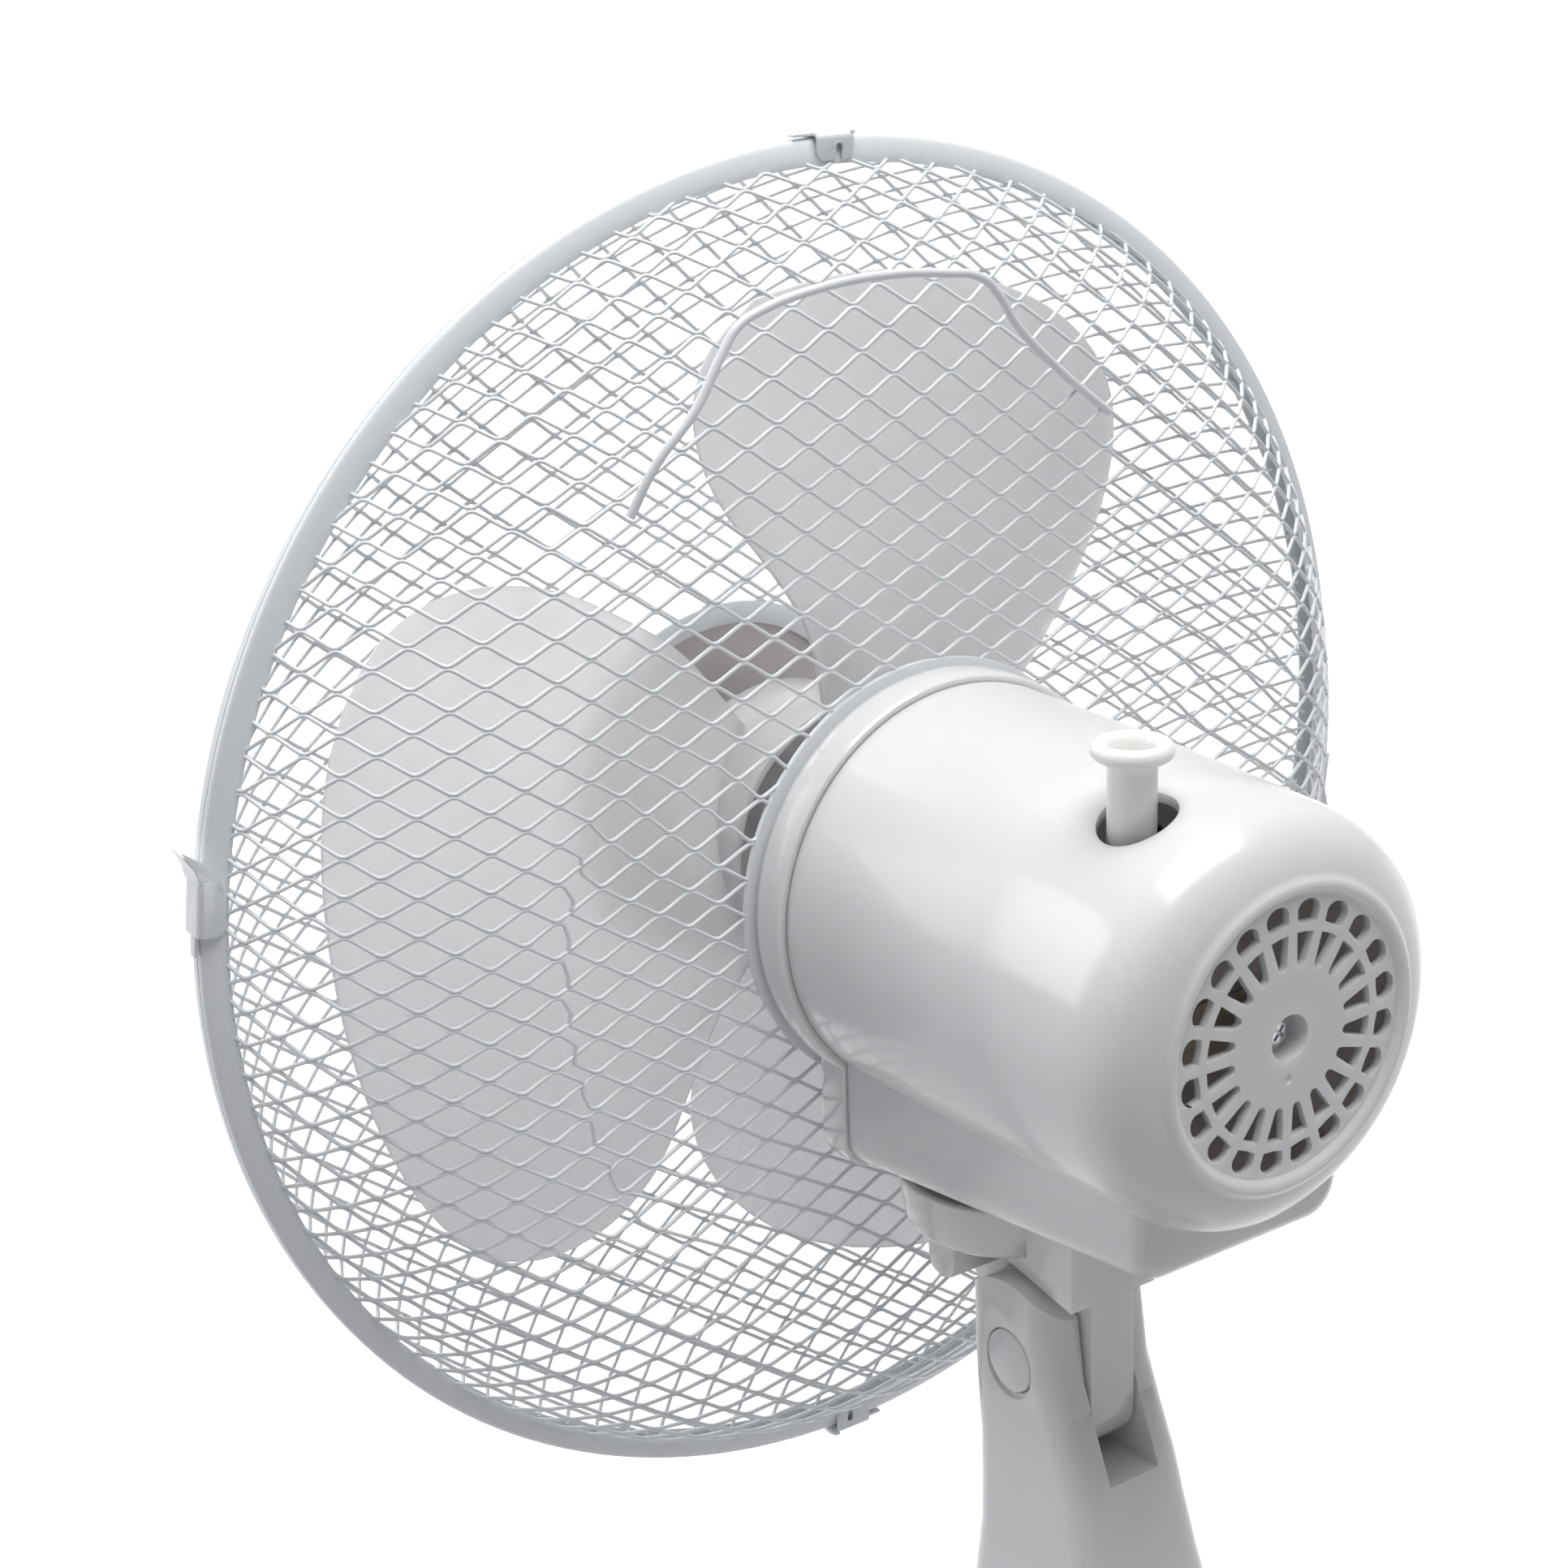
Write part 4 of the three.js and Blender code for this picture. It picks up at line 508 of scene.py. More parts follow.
def mesh_of(data):
    """Turns a filled curve into a mesh piece."""
    piece = bpy.data.objects.new(data.name, data)
    bpy.context.scene.collection.objects.link(piece)
    pick(piece)
    bpy.ops.object.convert(target="MESH")
    return bpy.context.object


def turn_about_fan(piece, degrees):
    """Turns a piece about the fan axis, anticlockwise seen from the front."""
    turn = Matrix.Rotation(math.radians(-degrees), 4, "Y")
    piece.data.transform(Matrix.Translation(HEAD) @ turn @ Matrix.Translation(-HEAD))


# ---- Grille -------------------------------------------------------------------------------

# Each mesh: its edge and side of the rim plane, how far it bulges, the radius of its flat middle,
# the bend of its shoulder, and the hole that the hub ring covers.
REAR_MESH = {"edge": 1.3, "rise": 37.2, "flat": 110.5, "shoulder": 66, "hole": 50.5, "side": 1}
FRONT_MESH = {"edge": -2.0, "rise": 48.9, "flat": 98, "shoulder": 77, "hole": 46, "side": -1}
CELL_X, CELL_Z = 16.2, 9.0
STRAND = 0.52  # radius
BOND = 1.2
BOND_GAP = STRAND * 0.6
SHEET_REACH = 210  # the rows run past the edge of both sheets
LEAN = math.radians(5)  # lean of the rows of the sheet
STRETCH = 0.000004  # opens the cells toward the top and bottom

# Seam of the rear mesh: its furthest place across, how it curves with height, half its width, the
# heights over which it fades out, and how far the sheet is shifted past it.
SEAM_X, SEAM_Z, SEAM_CURVE, SEAM_HALF = 100, -7, 260, 2
SEAM_TOP, SEAM_BOTTOM = (40, 20), (-85, -55)
SEAM_SHIFT = (5.2, -2.4)

REAR_RIM = [
    (168.7, 2.9), (170.5, 2.8), (173.7, 1.9), (174.7, 1.25), (175, 0.6), (175, -0.2), (174.2, -0.2),
    (174.1, 0.4), (173.3, 1.15), (170.4, 2.1), (168.7, 2.2),
]
FRONT_RIM = [
    (168.9, -3.9), (173.9, -3.9), (174.7, -3.6), (175, -3), (175, -0.6), (174.2, -0.6), (174.2, -2.8),
    (173.7, -3.2), (168.9, -3.2),
]


def on_dome(x, z, form):
    """Presses a place of the flat sheet into the dome; lengths along the sheet are kept."""
    reach = math.hypot(x, z)
    bend = min(max(0.0, reach - form["flat"]) / form["shoulder"], 1.5)
    r = min(reach, form["flat"]) + form["shoulder"] * math.sin(bend)
    height = max(0.0, form["rise"] - form["shoulder"] * (1 - math.cos(bend)))
    k = r / max(reach, 0.001)
    return x * k, form["edge"] + form["side"] * height, z * k


def sheet_edge(form):
    """Radius on the flat sheet of the line that the rim grips."""
    return form["flat"] + form["shoulder"] * math.acos(1 - form["rise"] / form["shoulder"])


def strand_row(row):
    """Zigzag of one strand on the flat sheet; it touches its neighbours over each bond."""
    half_x, half_z = CELL_X / 2, CELL_Z / 2
    low, high = row * half_z + BOND_GAP, (row + 1) * half_z - BOND_GAP
    count = int(SHEET_REACH / half_x) + 1
    places = []
    for i in range(-count, count):
        start, end = (low, high) if (i + row) % 2 == 0 else (high, low)
        bend = 0.11 * (end - start)
        for along, rise in ((0, 0), (0.7, 0.3), (1.6, 1.6)):
            places.append((i * half_x + BOND * along, start + bend * rise))
        for along, rise in ((1.6, 1.6), (0.7, 0.3)):
            places.append(((i + 1) * half_x - BOND * along, end - bend * rise))
    return places


def between_radii(places, inner, outer):
    """Stretches of a strand that lie between two radii, cut exactly at each."""
    runs, run = [], []
    for p, q in zip(places, places[1:]):
        rp, rq = math.hypot(*p), math.hypot(*q)
        p_in, q_in = inner <= rp <= outer, inner <= rq <= outer
        if p_in:
            run.append(p)
        if p_in != q_in:
            t = ((outer if max(rp, rq) > outer else inner) - rp) / (rq - rp)
            run.append((p[0] + t * (q[0] - p[0]), p[1] + t * (q[1] - p[1])))
        if run and p_in and not q_in:
            runs.append(run)
            run = []
    return [r for r in runs if len(r) > 1]


def on_sheet(x, z):
    """Leans the rows, and opens the cells a little toward the top and bottom."""
    u = x * math.cos(LEAN) - z * math.sin(LEAN)
    w = x * math.sin(LEAN) + z * math.cos(LEAN)
    return u, w + STRETCH * w**3


def unmoved(x, z):
    return x, z


def seamed(x, z):
    """Sheet of the rear mesh, shifted along one curved seam where its strands pull steep."""
    past = SEAM_X - (z - SEAM_Z) ** 2 / SEAM_CURVE - x
    shift = ramp(past, -SEAM_HALF, SEAM_HALF) * ramp(z, *SEAM_TOP) * ramp(z, *SEAM_BOTTOM)
    return x + SEAM_SHIFT[0] * shift, z + SEAM_SHIFT[1] * shift


def weave(name, form, wander, node):
    """Rows of bent strand, given their thickness as curves and then made a mesh."""
    data = wire_curve(name, STRAND, 1)
    rows = int(SHEET_REACH / (CELL_Z / 2)) + 1
    for row in range(-rows, rows):
        places = [wander(*on_sheet(x, z)) for x, z in strand_row(row)]
        for run in between_radii(places, form["hole"], sheet_edge(form)):
            spline = data.splines.new("POLY")
            spline.points.add(len(run) - 1)
            for point, (x, z) in zip(spline.points, run):
                point.co = (*at_head(*on_dome(x, z, form)), 1)
    settle(mesh_of(data), name, ENAMEL, "head", node, smooth=75)


def hub_ring(name, inner, outer, form):
    """Pressed ring round the middle of a mesh."""
    y, half = form["edge"] + form["side"] * form["rise"], 0.8
    piece = bevel_edges(turned_about_fan(oblong(inner, outer, y - half, y + half)), 0.4)
    settle(piece, name, ENAMEL, "head", None)


def rim(name, profile, node):
    """Rolled channel that grips the edge of a mesh."""
    piece = bevel_edges(turned_about_fan(profile, 192), 0.18)
    settle(piece, name, ENAMEL, "head", node, smooth=45)


def build_grille():
    weave("rear_mesh", REAR_MESH, seamed, "rear_grille")
    weave("front_mesh", FRONT_MESH, unmoved, "front_grille")
    hub_ring("rear_hub_ring", 46, 54.5, REAR_MESH)
    hub_ring("front_hub_ring", 44, 50, FRONT_MESH)
    rim("rear_rim", REAR_RIM, "rear_rim_ring")
    rim("front_rim", FRONT_RIM, "front_rim_ring")


# ---- Rim clips ----------------------------------------------------------------------------

# Heights of a clip's back and lips over the fan axis, its sheet, and its two faces; it is made at
# the top of the rim and turned into its place.
CLIP_OUTER, CLIP_FOOT, CLIP_WALL = 176.2, 169.6, 0.8
CLIP_BACK, CLIP_FRONT = 3.9, -4.9
CLIP_MIDDLE, CLIP_WIDE = (CLIP_BACK + CLIP_FRONT) / 2, (CLIP_BACK - CLIP_FRONT) / 2

# Half length, length and lift of the ear at one end, and length of the tail at the other.
SIDE_CLIP = (6.4, 7.6, 4.8, 5)
END_CLIP = (5.2, 1.1, 0.8, 5.4)
CLIPS = ((7.6, SIDE_CLIP), (91, END_CLIP), (187.6, SIDE_CLIP), (271, END_CLIP))  # angle and form


def clip_channel(half):
    """Rolled back and two lips with rounded corners."""
    bend = 1.6
    turn_back, turn_front, height = CLIP_BACK - bend, CLIP_FRONT + bend, CLIP_OUTER - bend
    side = (
        [(CLIP_BACK - 0.3, CLIP_FOOT)]
        + arc(turn_back, height, bend, 0, 90, 6)
        + arc(turn_front, height, bend, 90, 180, 6)
        + [(CLIP_FRONT + 0.3, CLIP_FOOT), (CLIP_FRONT + CLIP_WALL + 0.2, CLIP_FOOT)]
        + arc(turn_front, height, bend - CLIP_WALL, 180, 90, 4)
        + arc(turn_back, height, bend - CLIP_WALL, 90, 0, 4)
        + [(CLIP_BACK - CLIP_WALL - 0.2, CLIP_FOOT)]
    )
    strap = plate_across(side, -half, half)
    face = trough(half, CLIP_FOOT, CLIP_OUTER + 1, 2.6)
    carve(strap, plate_behind(face, 8, -18), "INTERSECT")
    return strap


def clip_ear(half, reach, lift):
    """Leaf that lifts from one end of the strap."""
    top = [(0.5 - half, CLIP_OUTER)]
    top += [(-half - reach * t, CLIP_OUTER + lift * t**1.5) for t in (0.25, 0.5, 0.75, 1)]
    under = [(x - 0.25, z - CLIP_WALL * 0.8) for x, z in reversed(top)]
    ear = plate_behind(top + under, CLIP_FRONT, CLIP_BACK - CLIP_FRONT)
    leaf = [(2 - half, CLIP_MIDDLE - CLIP_WIDE)]
    leaf += [(-half - reach * c**0.6, CLIP_MIDDLE + CLIP_WIDE * s) for c, s in arc(0, 0, 1, -80, 80, 16)]
    leaf += [(2 - half, CLIP_MIDDLE + CLIP_WIDE)]
    carve(ear, prism([at_head(x, y, CLIP_OUTER - 3) for x, y in leaf], (0, 0, 12 * MM)), "INTERSECT")
    return ear


def clip_web(half, reach, lift):
    """Part of the rear lip that runs up under a long ear."""
    outline = [
        (2 - half, CLIP_FOOT + 1.2), (-half, CLIP_FOOT + 1.4), (-half - 3.4, CLIP_OUTER - 3),
        (-half - reach, CLIP_OUTER + lift - 0.6), (-half - reach * 0.55, CLIP_OUTER + lift * 0.38),
        (-half, CLIP_OUTER - 0.2), (2 - half, CLIP_OUTER - 0.6),
    ]
    return plate_behind(outline, CLIP_BACK - 0.95, CLIP_WALL)


def clip_tail(half, tail):
    """Narrow strip that runs on from the other end of the strap."""
    start, end, top = half - 0.5, half + tail, CLIP_OUTER - 0.2
    outline = [(start, top + 0.1), (end, top), (end, top - CLIP_WALL * 0.8), (start, CLIP_OUTER - CLIP_WALL)]
    return plate_behind(outline, CLIP_MIDDLE - 0.4, 2.4)


def clip_slit():
    """Cutter for the round-ended slit in a short-eared clip's rear lip."""
    outline = [(-1.9, 168), (-0.3, 168)] + arc(-1.1, CLIP_OUTER - 3.6, 1.0, 0, 180, 8)
    return plate_behind(outline, CLIP_BACK + 2, -4)


def clip_strap(half, reach, lift, tail):
    """Bent spring strap: two lips, a rolled back, a leaf ear at one end and a tail at the other."""
    strap = clip_channel(half)
    carve(strap, clip_ear(half, reach, lift), "UNION")
    long_eared = reach > tail
    if long_eared:
        carve(strap, clip_web(half, reach, lift), "UNION")
    carve(strap, clip_tail(half, tail), "UNION")
    if not long_eared:
        carve(strap, clip_slit())
    return bevel_edges(strap, 0.2)


def build_clips():
    for number, (angle, form) in enumerate(CLIPS, 1):
        strap = clip_strap(*form)
        turn_about_fan(strap, angle - 90)
        settle(strap, f"clip_{number}", ENAMEL, "head", f"grille_clip_{number}")


# ---- Carrying handle and badge ------------------------------------------------------------

HANDLE_WIRE = 1.1  # radius
HANDLE_PATH = [
    (79, 37.5, 102.5), (73, 39.5, 113.5), (63, 41, 124.5), (55, 41, 136.5), (51, 41, 141.3),
    (45, 41, 144), (30, 41, 147), (13, 41, 148), (-6, 41, 146.5), (-17, 41, 144.2),
    (-22, 41, 139.8), (-27, 41, 132.5), (-40, 39.5, 120.7), (-59, 37.5, 106.3),
]


def build_handle():
    """Wire hoop: a smooth path given a round section."""
    data = wire_curve("carry_handle", HANDLE_WIRE, 4)
    spline = data.splines.new("BEZIER")
    spline.bezier_points.add(len(HANDLE_PATH) - 1)
    for point, place in zip(spline.bezier_points, HANDLE_PATH):
        point.co = at_head(*place)
        point.handle_left_type = point.handle_right_type = "AUTO"
    spline.resolution_u = 8
    settle(mesh_of(data), "carry_handle", ENAMEL, "head", "grille_handle", smooth=60)


def build_badge():
    """Bare disc on the nose of the front grille."""
    profile = [
        (0, -52.2), (48.5, -52.2), (48.5, -53.0), (47.6, -53.9), (43, -54.1), (42.4, -53.7), (0, -53.7),
    ]
    disc = turned_about_fan(profile, 128)
    settle(disc, "nose_disc", ALLOY, "head", "front_badge_plate")


# ---- Fan ----------------------------------------------------------------------------------

BLADE_COUNT = 3
BLADE_START = 6.6  # degrees
BLADE_WALL = 1.8
BLADE_ROOT, BLADE_REACH = 33, 137.5  # radii between which the two edges are drawn
BLADE_SET, BLADE_PITCH, BLADE_CURL = -2, 0.327, 0.003  # how a blade's surface lies along the fan axis

# Outline of a blade: angle of each edge at a radius, and reach of the tip at an angle.
LEADING = [(33, -46.5), (56, -48.2), (76, -53.3), (95, -57), (113, -56.3), (128, -51.8), (137.5, -44.8)]
TRAILING = [(33, 50.3), (56, 51), (75, 46.3), (94, 41), (117, 31.7), (131, 23.5), (137.5, 17)]
TIP = [(-45, 140.5), (-34, 143.2), (-18, 144.3), (0, 143.6), (10, 141), (17, 136.5)]

HUB_PROFILE = [
    (4.3, -30.5), (29.5, -30.5), (32, -30.1), (33.4, -29), (34, -27.2), (37, 8), (35.1, 8),
    (34.8, 6.2), (32, -26.5), (30.5, -28.3), (9, -28.3), (9, -4), (4.3, -4),
]


def slope_at(table, i):
    (x0, v0), (x1, v1) = table[max(i - 1, 0)], table[min(i + 1, len(table) - 1)]
    return (v1 - v0) / (x1 - x0)


def smooth(table, x):
    """Reads a table of (x, value) pairs along a smooth curve through all of them."""
    i = max(0, min(len(table) - 2, sum(x >= knot for knot, _ in table) - 1))
    (x0, v0), (x1, v1) = table[i], table[i + 1]
    t = ramp(x, x0, x1)
    away, back = slope_at(table, i) * (x1 - x0), slope_at(table, i + 1) * (x1 - x0)
    level = v0 * (1 + 2 * t) * (1 - t) ** 2 + v1 * (3 - 2 * t) * t**2
    return level + away * t * (1 - t) ** 2 - back * t**2 * (1 - t)


def blade_place(u, v):
    """Place on a blade; u runs from hub to tip and v from leading to trailing edge."""
    mid_r = BLADE_ROOT + (BLADE_REACH - BLADE_ROOT) * u
    angle = smooth(LEADING, mid_r) * (1 - v) + smooth(TRAILING, mid_r) * v
    along, across = polar(BLADE_ROOT + (smooth(TIP, angle) - BLADE_ROOT) * u, angle)
    return along, BLADE_SET - BLADE_PITCH * across - BLADE_CURL * across**2, across


def make_blade():
    """Curved sheet between two edges, given its thickness and rounded."""
    pick()
    bpy.ops.mesh.primitive_grid_add(x_subdivisions=28, y_subdivisions=24, size=1)
    blade = bpy.context.object
    for vertex in blade.data.vertices:
        vertex.co = at_head(*blade_place(vertex.co.x + 0.5, vertex.co.y + 0.5))
    wall = blade.modifiers.new("wall", "SOLIDIFY")
    wall.thickness = BLADE_WALL * MM
    wall.offset = 0
    apply_modifiers(blade)
    bpy.ops.object.mode_set(mode="EDIT")
    bpy.ops.mesh.select_all(action="SELECT")
    bpy.ops.mesh.normals_make_consistent(inside=False)
    bpy.ops.object.mode_set(mode="OBJECT")
    return bevel_edges(blade, 0.6, 3, 50)


def copy_of(piece):
    twin = piece.copy()
    twin.data = piece.data.copy()
    bpy.context.scene.collection.objects.link(twin)
    return twin


def build_fan():
    """Hollow hub with all blades moulded on."""
    hub = bevel_edges(turned_about_fan(HUB_PROFILE), 0.3)
    blades = [make_blade()]
    blades += [copy_of(blades[0]) for _ in range(BLADE_COUNT - 1)]
    for number, blade in enumerate(blades):
        turn_about_fan(blade, BLADE_START + 360 / BLADE_COUNT * number)
    settle(joined([hub, *blades]), "blades", BLADE, "rotor", "fan_blade", smooth=40)


# ---- Motor casing -------------------------------------------------------------------------

CASING_WALL = 2.2
SWIVEL_CLEARANCE = 23.5  # radius of the hole in the underside, round the swivel

SHELL_PROFILE = [
    (51, 51.3), (50.6, 92), (49.2, 138), (48.9, 147), (48.4, 151.5), (47.3, 155.2), (45.5, 158.4),
    (42.4, 161), (39.6, 162.8), (36.6, 163.9), (36.0, 164.1),
]
SHELL_BEAD = [
    (35.2, 164.9), (34.5, 165.3), (33.3, 165.3), (32.6, 164.9), (32.1, 164.2), (31.8, 163.9), (0, 163.9),
]
SHELL_START, KEEL_END, KEEL_TOP = 51.3, 152, -20

# The two ends of each keel: place behind the rim plane, half width and underside.
REAR_KEEL = ((SHELL_START, 35, -65.8), (KEEL_END, 30, -56.2))
FRONT_KEEL = ((39.6, 36, -66.8), (51, 36, -66.8))

VENT_COUNT, VENT_RIB = 20, 2.5
OUTER_VENTS, INNER_VENTS = (25.6, 30.9), (15.8, 23.7)  # radii of the two rows of air slots

DENT_PROFILE = [(0, 163.3), (0.9, 163.4), (1.3, 163.9), (1.3, 166), (0, 166)]
DENT_DROP = 9.5


def keel_size(y, ends):
    """Half width and underside of a keel, which changes evenly from end to end."""
    (y0, half0, low0), (y1, half1, low1) = ends
    t = (y - y0) / (y1 - y0)
    return half0 + (half1 - half0) * t, low0 + (low1 - low0) * t


def keel_block(stations, ends, inset, corner):
    """Box with a rounded underside, run through stations of y and how far each is drawn in."""
    sections = []
    for y, back in stations:
        half, low = keel_size(y, ends)
        outline = trough(half - inset - back, low + inset + back, KEEL_TOP, corner)
        sections.append([at_head(x, y, z) for x, z in outline])
    return skin(sections)


def rounded_back(y, r):
    """Stations that round off the rear edge of the keel."""
    turned = [polar(r, angle) for angle in (0, 22, 45, 62, 75)]
    return [(y - r + v, r - u) for u, v in turned]


def soft_front(y0, y1, soft, end):
    """Stations with a softened front edge, and the other end drawn in a little or not at all."""
    return [(y0, soft), (y0 + soft * 0.3, soft * 0.3), (y0 + soft, 0), (y1 - 0.4, 0), (y1, end)]


def vent_slot(row, turn):
    """Cutter for one air slot, round at its outer end in the outer row and its inner end in the other."""
    r0, r1 = row

    def half(r):
        return math.pi * r / VENT_COUNT - VENT_RIB / 2

    if row is OUTER_VENTS:
        end = [(r1 - 2.6 + 2.6 * v, -half(r1 - 2.2) * u) for u, v in arc(0, 0, 1, 0, 180, 9)]
        outline = [(r0 + 0.2, -half(r0))] + end + [(r0 + 0.2, half(r0)), (r0, 0)]
    else:
        end = [(r0 + 1.3 - 1.3 * v, half(r0) * u) for u, v in arc(0, 0, 1, 0, 180, 6)]
        outline = end + [(r1 - 0.2, -half(r1)), (r1, 0), (r1 - 0.2, half(r1))]
    c, s = polar(1, turn)
    return plate_behind([(c * u - s * v, s * u + c * v) for u, v in outline], 158, 12)


def all_vents():
    pitch = 360 / VENT_COUNT
    return joined([
        vent_slot(row, pitch * (i + 0.5)) for row in (OUTER_VENTS, INNER_VENTS) for i in range(VENT_COUNT)
    ])


def shell_inside():
    """Hollow of the shell: drawn in all round, and open at the front."""
    start, wall = SHELL_START - 1, CASING_WALL
    drawn_in = [(r - wall, y - (wall if y > 140 else 0)) for r, y in SHELL_PROFILE[1:]]
    return [(0, start), (SHELL_PROFILE[0][0] - wall, start)] + drawn_in + [(0, 161.9)]


def build_rear_cover():
    shell = turned_about_fan([(0, SHELL_START)] + SHELL_PROFILE + SHELL_BEAD, 128)
    outside = [(SHELL_START, 0), (100, 0)] + rounded_back(KEEL_END, 5)
    inside = [(SHELL_START - 1, 0), (100, 0)] + rounded_back(KEEL_END - CASING_WALL, 4)
    carve(shell, keel_block(outside, REAR_KEEL, 0, 8), "UNION")
    carve(shell, turned_about_fan(shell_inside()))
    carve(shell, keel_block(inside, REAR_KEEL, CASING_WALL, 6))
    carve(shell, turned_about_fan(disc_profile(7.1, 156.5, 163), 48), "UNION")
    carve(shell, turned_about_fan(disc_profile(5.3, 158.4, 168), 48))
    carve(shell, all_vents())
    carve(shell, upright_drum(8.7, 30, 62, CRANK + Vector((-0.9, 0.7, 0)) * MM))
    carve(shell, upright_drum(SWIVEL_CLEARANCE, -70, -40, SWIVEL, 96))
    dent = turned_about_fan(DENT_PROFILE, 32)
    dent.data.transform(Matrix.Translation(Vector((0, 0, -DENT_DROP * MM))))
    carve(shell, dent)
    bevel_edges(shell, 0.35, 2, 38)
    settle(shell, "rear_casing", CASING, "head", "motor_rear_cover", smooth=38)


def build_front_cover():
    profile = [
        (0, 39.6), (49.5, 39.6), (51.6, 40.1), (52.7, 41.2), (53, 42.8), (53, 50.2), (52.4, 51), (0, 51),
    ]
    cover = turned_about_fan(profile, 128)
    carve(cover, keel_block(soft_front(39.6, 51, 2.6, 0.4), FRONT_KEEL, 0, 8), "UNION")
    carve(cover, turned_about_fan(disc_profile(50.8, 41.8, 52), 128))
    carve(cover, keel_block(soft_front(41.8, 52, 0.4, 0), FRONT_KEEL, CASING_WALL, 6))
    carve(cover, turned_about_fan(disc_profile(16, 26, 42), 64), "UNION")
    carve(cover, turned_about_fan(disc_profile(13, 25, 44), 64))
    carve(cover, upright_drum(SWIVEL_CLEARANCE, -75, -40, SWIVEL, 96))
    bevel_edges(cover, 0.35, 2, 38)
    settle(cover, "front_casing", CASING, "head", "motor_front_cover", smooth=38)


def build_lock_nut():
    profile = [
        (16.3, 37.3), (50, 37.3), (50, 35.9), (49, 35.1), (23.5, 35.1), (22.3, 34.2), (22, 26.2),
        (16.3, 26.2),
    ]
    nut = bevel_edges(turned_about_fan(profile), 0.4)
    settle(nut, "grille_nut", CASING, "head", "grille_lock_nut")


def build_rear_screw():
    """Domed head with a cross cut in it, and its shank."""
    profile = [
        (0, 149.5), (1.6, 150.5), (1.6, 158.4), (3.6, 158.4), (3.6, 159.4), (3.2, 160.1), (2.2, 160.6),
        (0, 160.8),
    ]
    screw = turned_about_fan(profile, 48)
    for turn in (40, 130):
        bar = plate_behind(oblong(-2, 2, -0.4, 0.4), 159.4, 3)
        turn_about_fan(bar, turn)
        carve(screw, bar)
    settle(bevel_edges(screw, 0.12), "casing_screw", STEEL, "head", "rear_cover_screw")


def build_knob():
    """Tube with a rolled lip, hollow from the top and bored below for its shaft."""
    outside = [(0, 20), (5.1, 20), (5.35, 20.4), (5.35, 57), (5.6, 58.2)]
    lip = arc(7, 60.6, 2, -100, 165, 14)
    inside = [(4.8, 60.4), (4.3, 58), (4, 57), (4, 44), (0, 44)]
    knob = turned_upright(outside + lip + inside, CRANK)
    carve(knob, upright_drum(3.1, 15, 42, CRANK, 32))
    settle(knob, "push_knob", KNOB, "knob", "oscillation_knob", smooth=40)


# ---- Neck ---------------------------------------------------------------------------------

DISH_PROFILE = [
    (0, -81.2), (23.4, -81.2), (24.8, -80.7), (25.5, -79.6), (27.5, -67.8), (27.2, -67.4), (25.6, -67.4),
    (25.3, -67.8), (23.4, -78.4), (22.6, -79), (0, -79),
]
ROD_PIN = (-9.48, -3.19)  # pin that holds the connecting rod, across and behind the swivel


def neck_tongue():
    """Tongue that turns between the column's cheeks, with a rounded foot."""
    outline = [(108.5, -86), (76, -84), (62, -90), (60.6, -92), (61, -95.5), (66, -99)]
    outline += arc(90, -112.5, 18.5, 190, 270, 20) + arc(96.5, -119, 12, 270, 360, 20)
    return plate_across(outline, -6.7, 6.7)


def neck_saddle():
    """Block behind and under the dish, kept out of its inside, with soft edges."""
    outline = [(108.5, -67.4), (108.5, -87.6), (81, -83), (62, -83), (62, -80), (92, -80), (92, -67.4)]
    saddle = plate_across(outline, -13, 13)
    carve(saddle, upright_drum(23.4, -79, -60, SWIVEL, 96))
    return bevel_edges(saddle, 2.4, 4, 60)


def build_neck():
    """Dish with a saddle, a tongue, a side lug, a socket and the rod's pin; bored for the swivel."""
    neck = turned_upright(DISH_PROFILE, SWIVEL, 96)
    tongue = neck_tongue()
    saddle = neck_saddle()
    lug_outline = [(66, -80), (66, -86.5), (67.2, -89.6), (71, -91), (74.8, -89.6), (76, -86.5), (76, -80)]
    lug = plate_across(lug_outline, 6, 22.5)
    socket = upright_drum(6.9, -98, -64, SWIVEL, 48)
    pin = upright_drum(3, -80, -51.3, SWIVEL + Vector((*ROD_PIN, 0)) * MM, 32)
    for part in (saddle, tongue, lug, socket, pin):
        carve(neck, part, "UNION")
    carve(neck, upright_drum(3.6, -99, -60, SWIVEL, 32))
    bevel_edges(neck, 0.7, 3, 38)
    settle(neck, "neck", CASING, "neck", "neck_bracket", smooth=38)


# ---- Column -------------------------------------------------------------------------------

# Height, half width, front and back of the column; the last two are from the tilt bolt.
COLUMN_STATIONS = [
    (240, 16.8, -18.8, 13), (213, 17, -18.3, 17), (201, 17.2, -17.2, 21.7), (189, 17.5, -15.8, 26.8),
    (177, 17.9, -15.2, 30.4), (164, 18.5, -14.8, 34.5), (142, 20.7, -15.8, 41.2), (120, 24, -18, 48),
    (100, 28, -22.4, 53), (80, 33, -28, 57), (66, 37.6, -32.8, 59.6), (52, 43, -38, 62),
    (40, 47.4, -41.8, 64), (30, 50, -44, 65),
]
COLUMN_WALL = 2.5
HOLLOW_TOP, HOLLOW_FOOT = (176.5, 17.9, -15.2, 30.5), (20, 52, -46, 67)

# Pockets in each cheek: radius, inner and outer reach from the middle, steps and height.
CHEEK_POCKETS = ((8.4, 14.6, 22, 64, 0), (8.4, 16.1, 22, 64, -1.5), (6, 10.6, 15, 32, 0))

# Space of the base cover, which the column's foot sits on.
FOOT_PROFILE = [
    (0, -5), (110.3, -5), (110.3, 4.3), (108.3, 22.3), (104.3, 29.3), (95.3, 34.3), (65, 40.1), (40, 42.3),
    (0, 43.3),
]


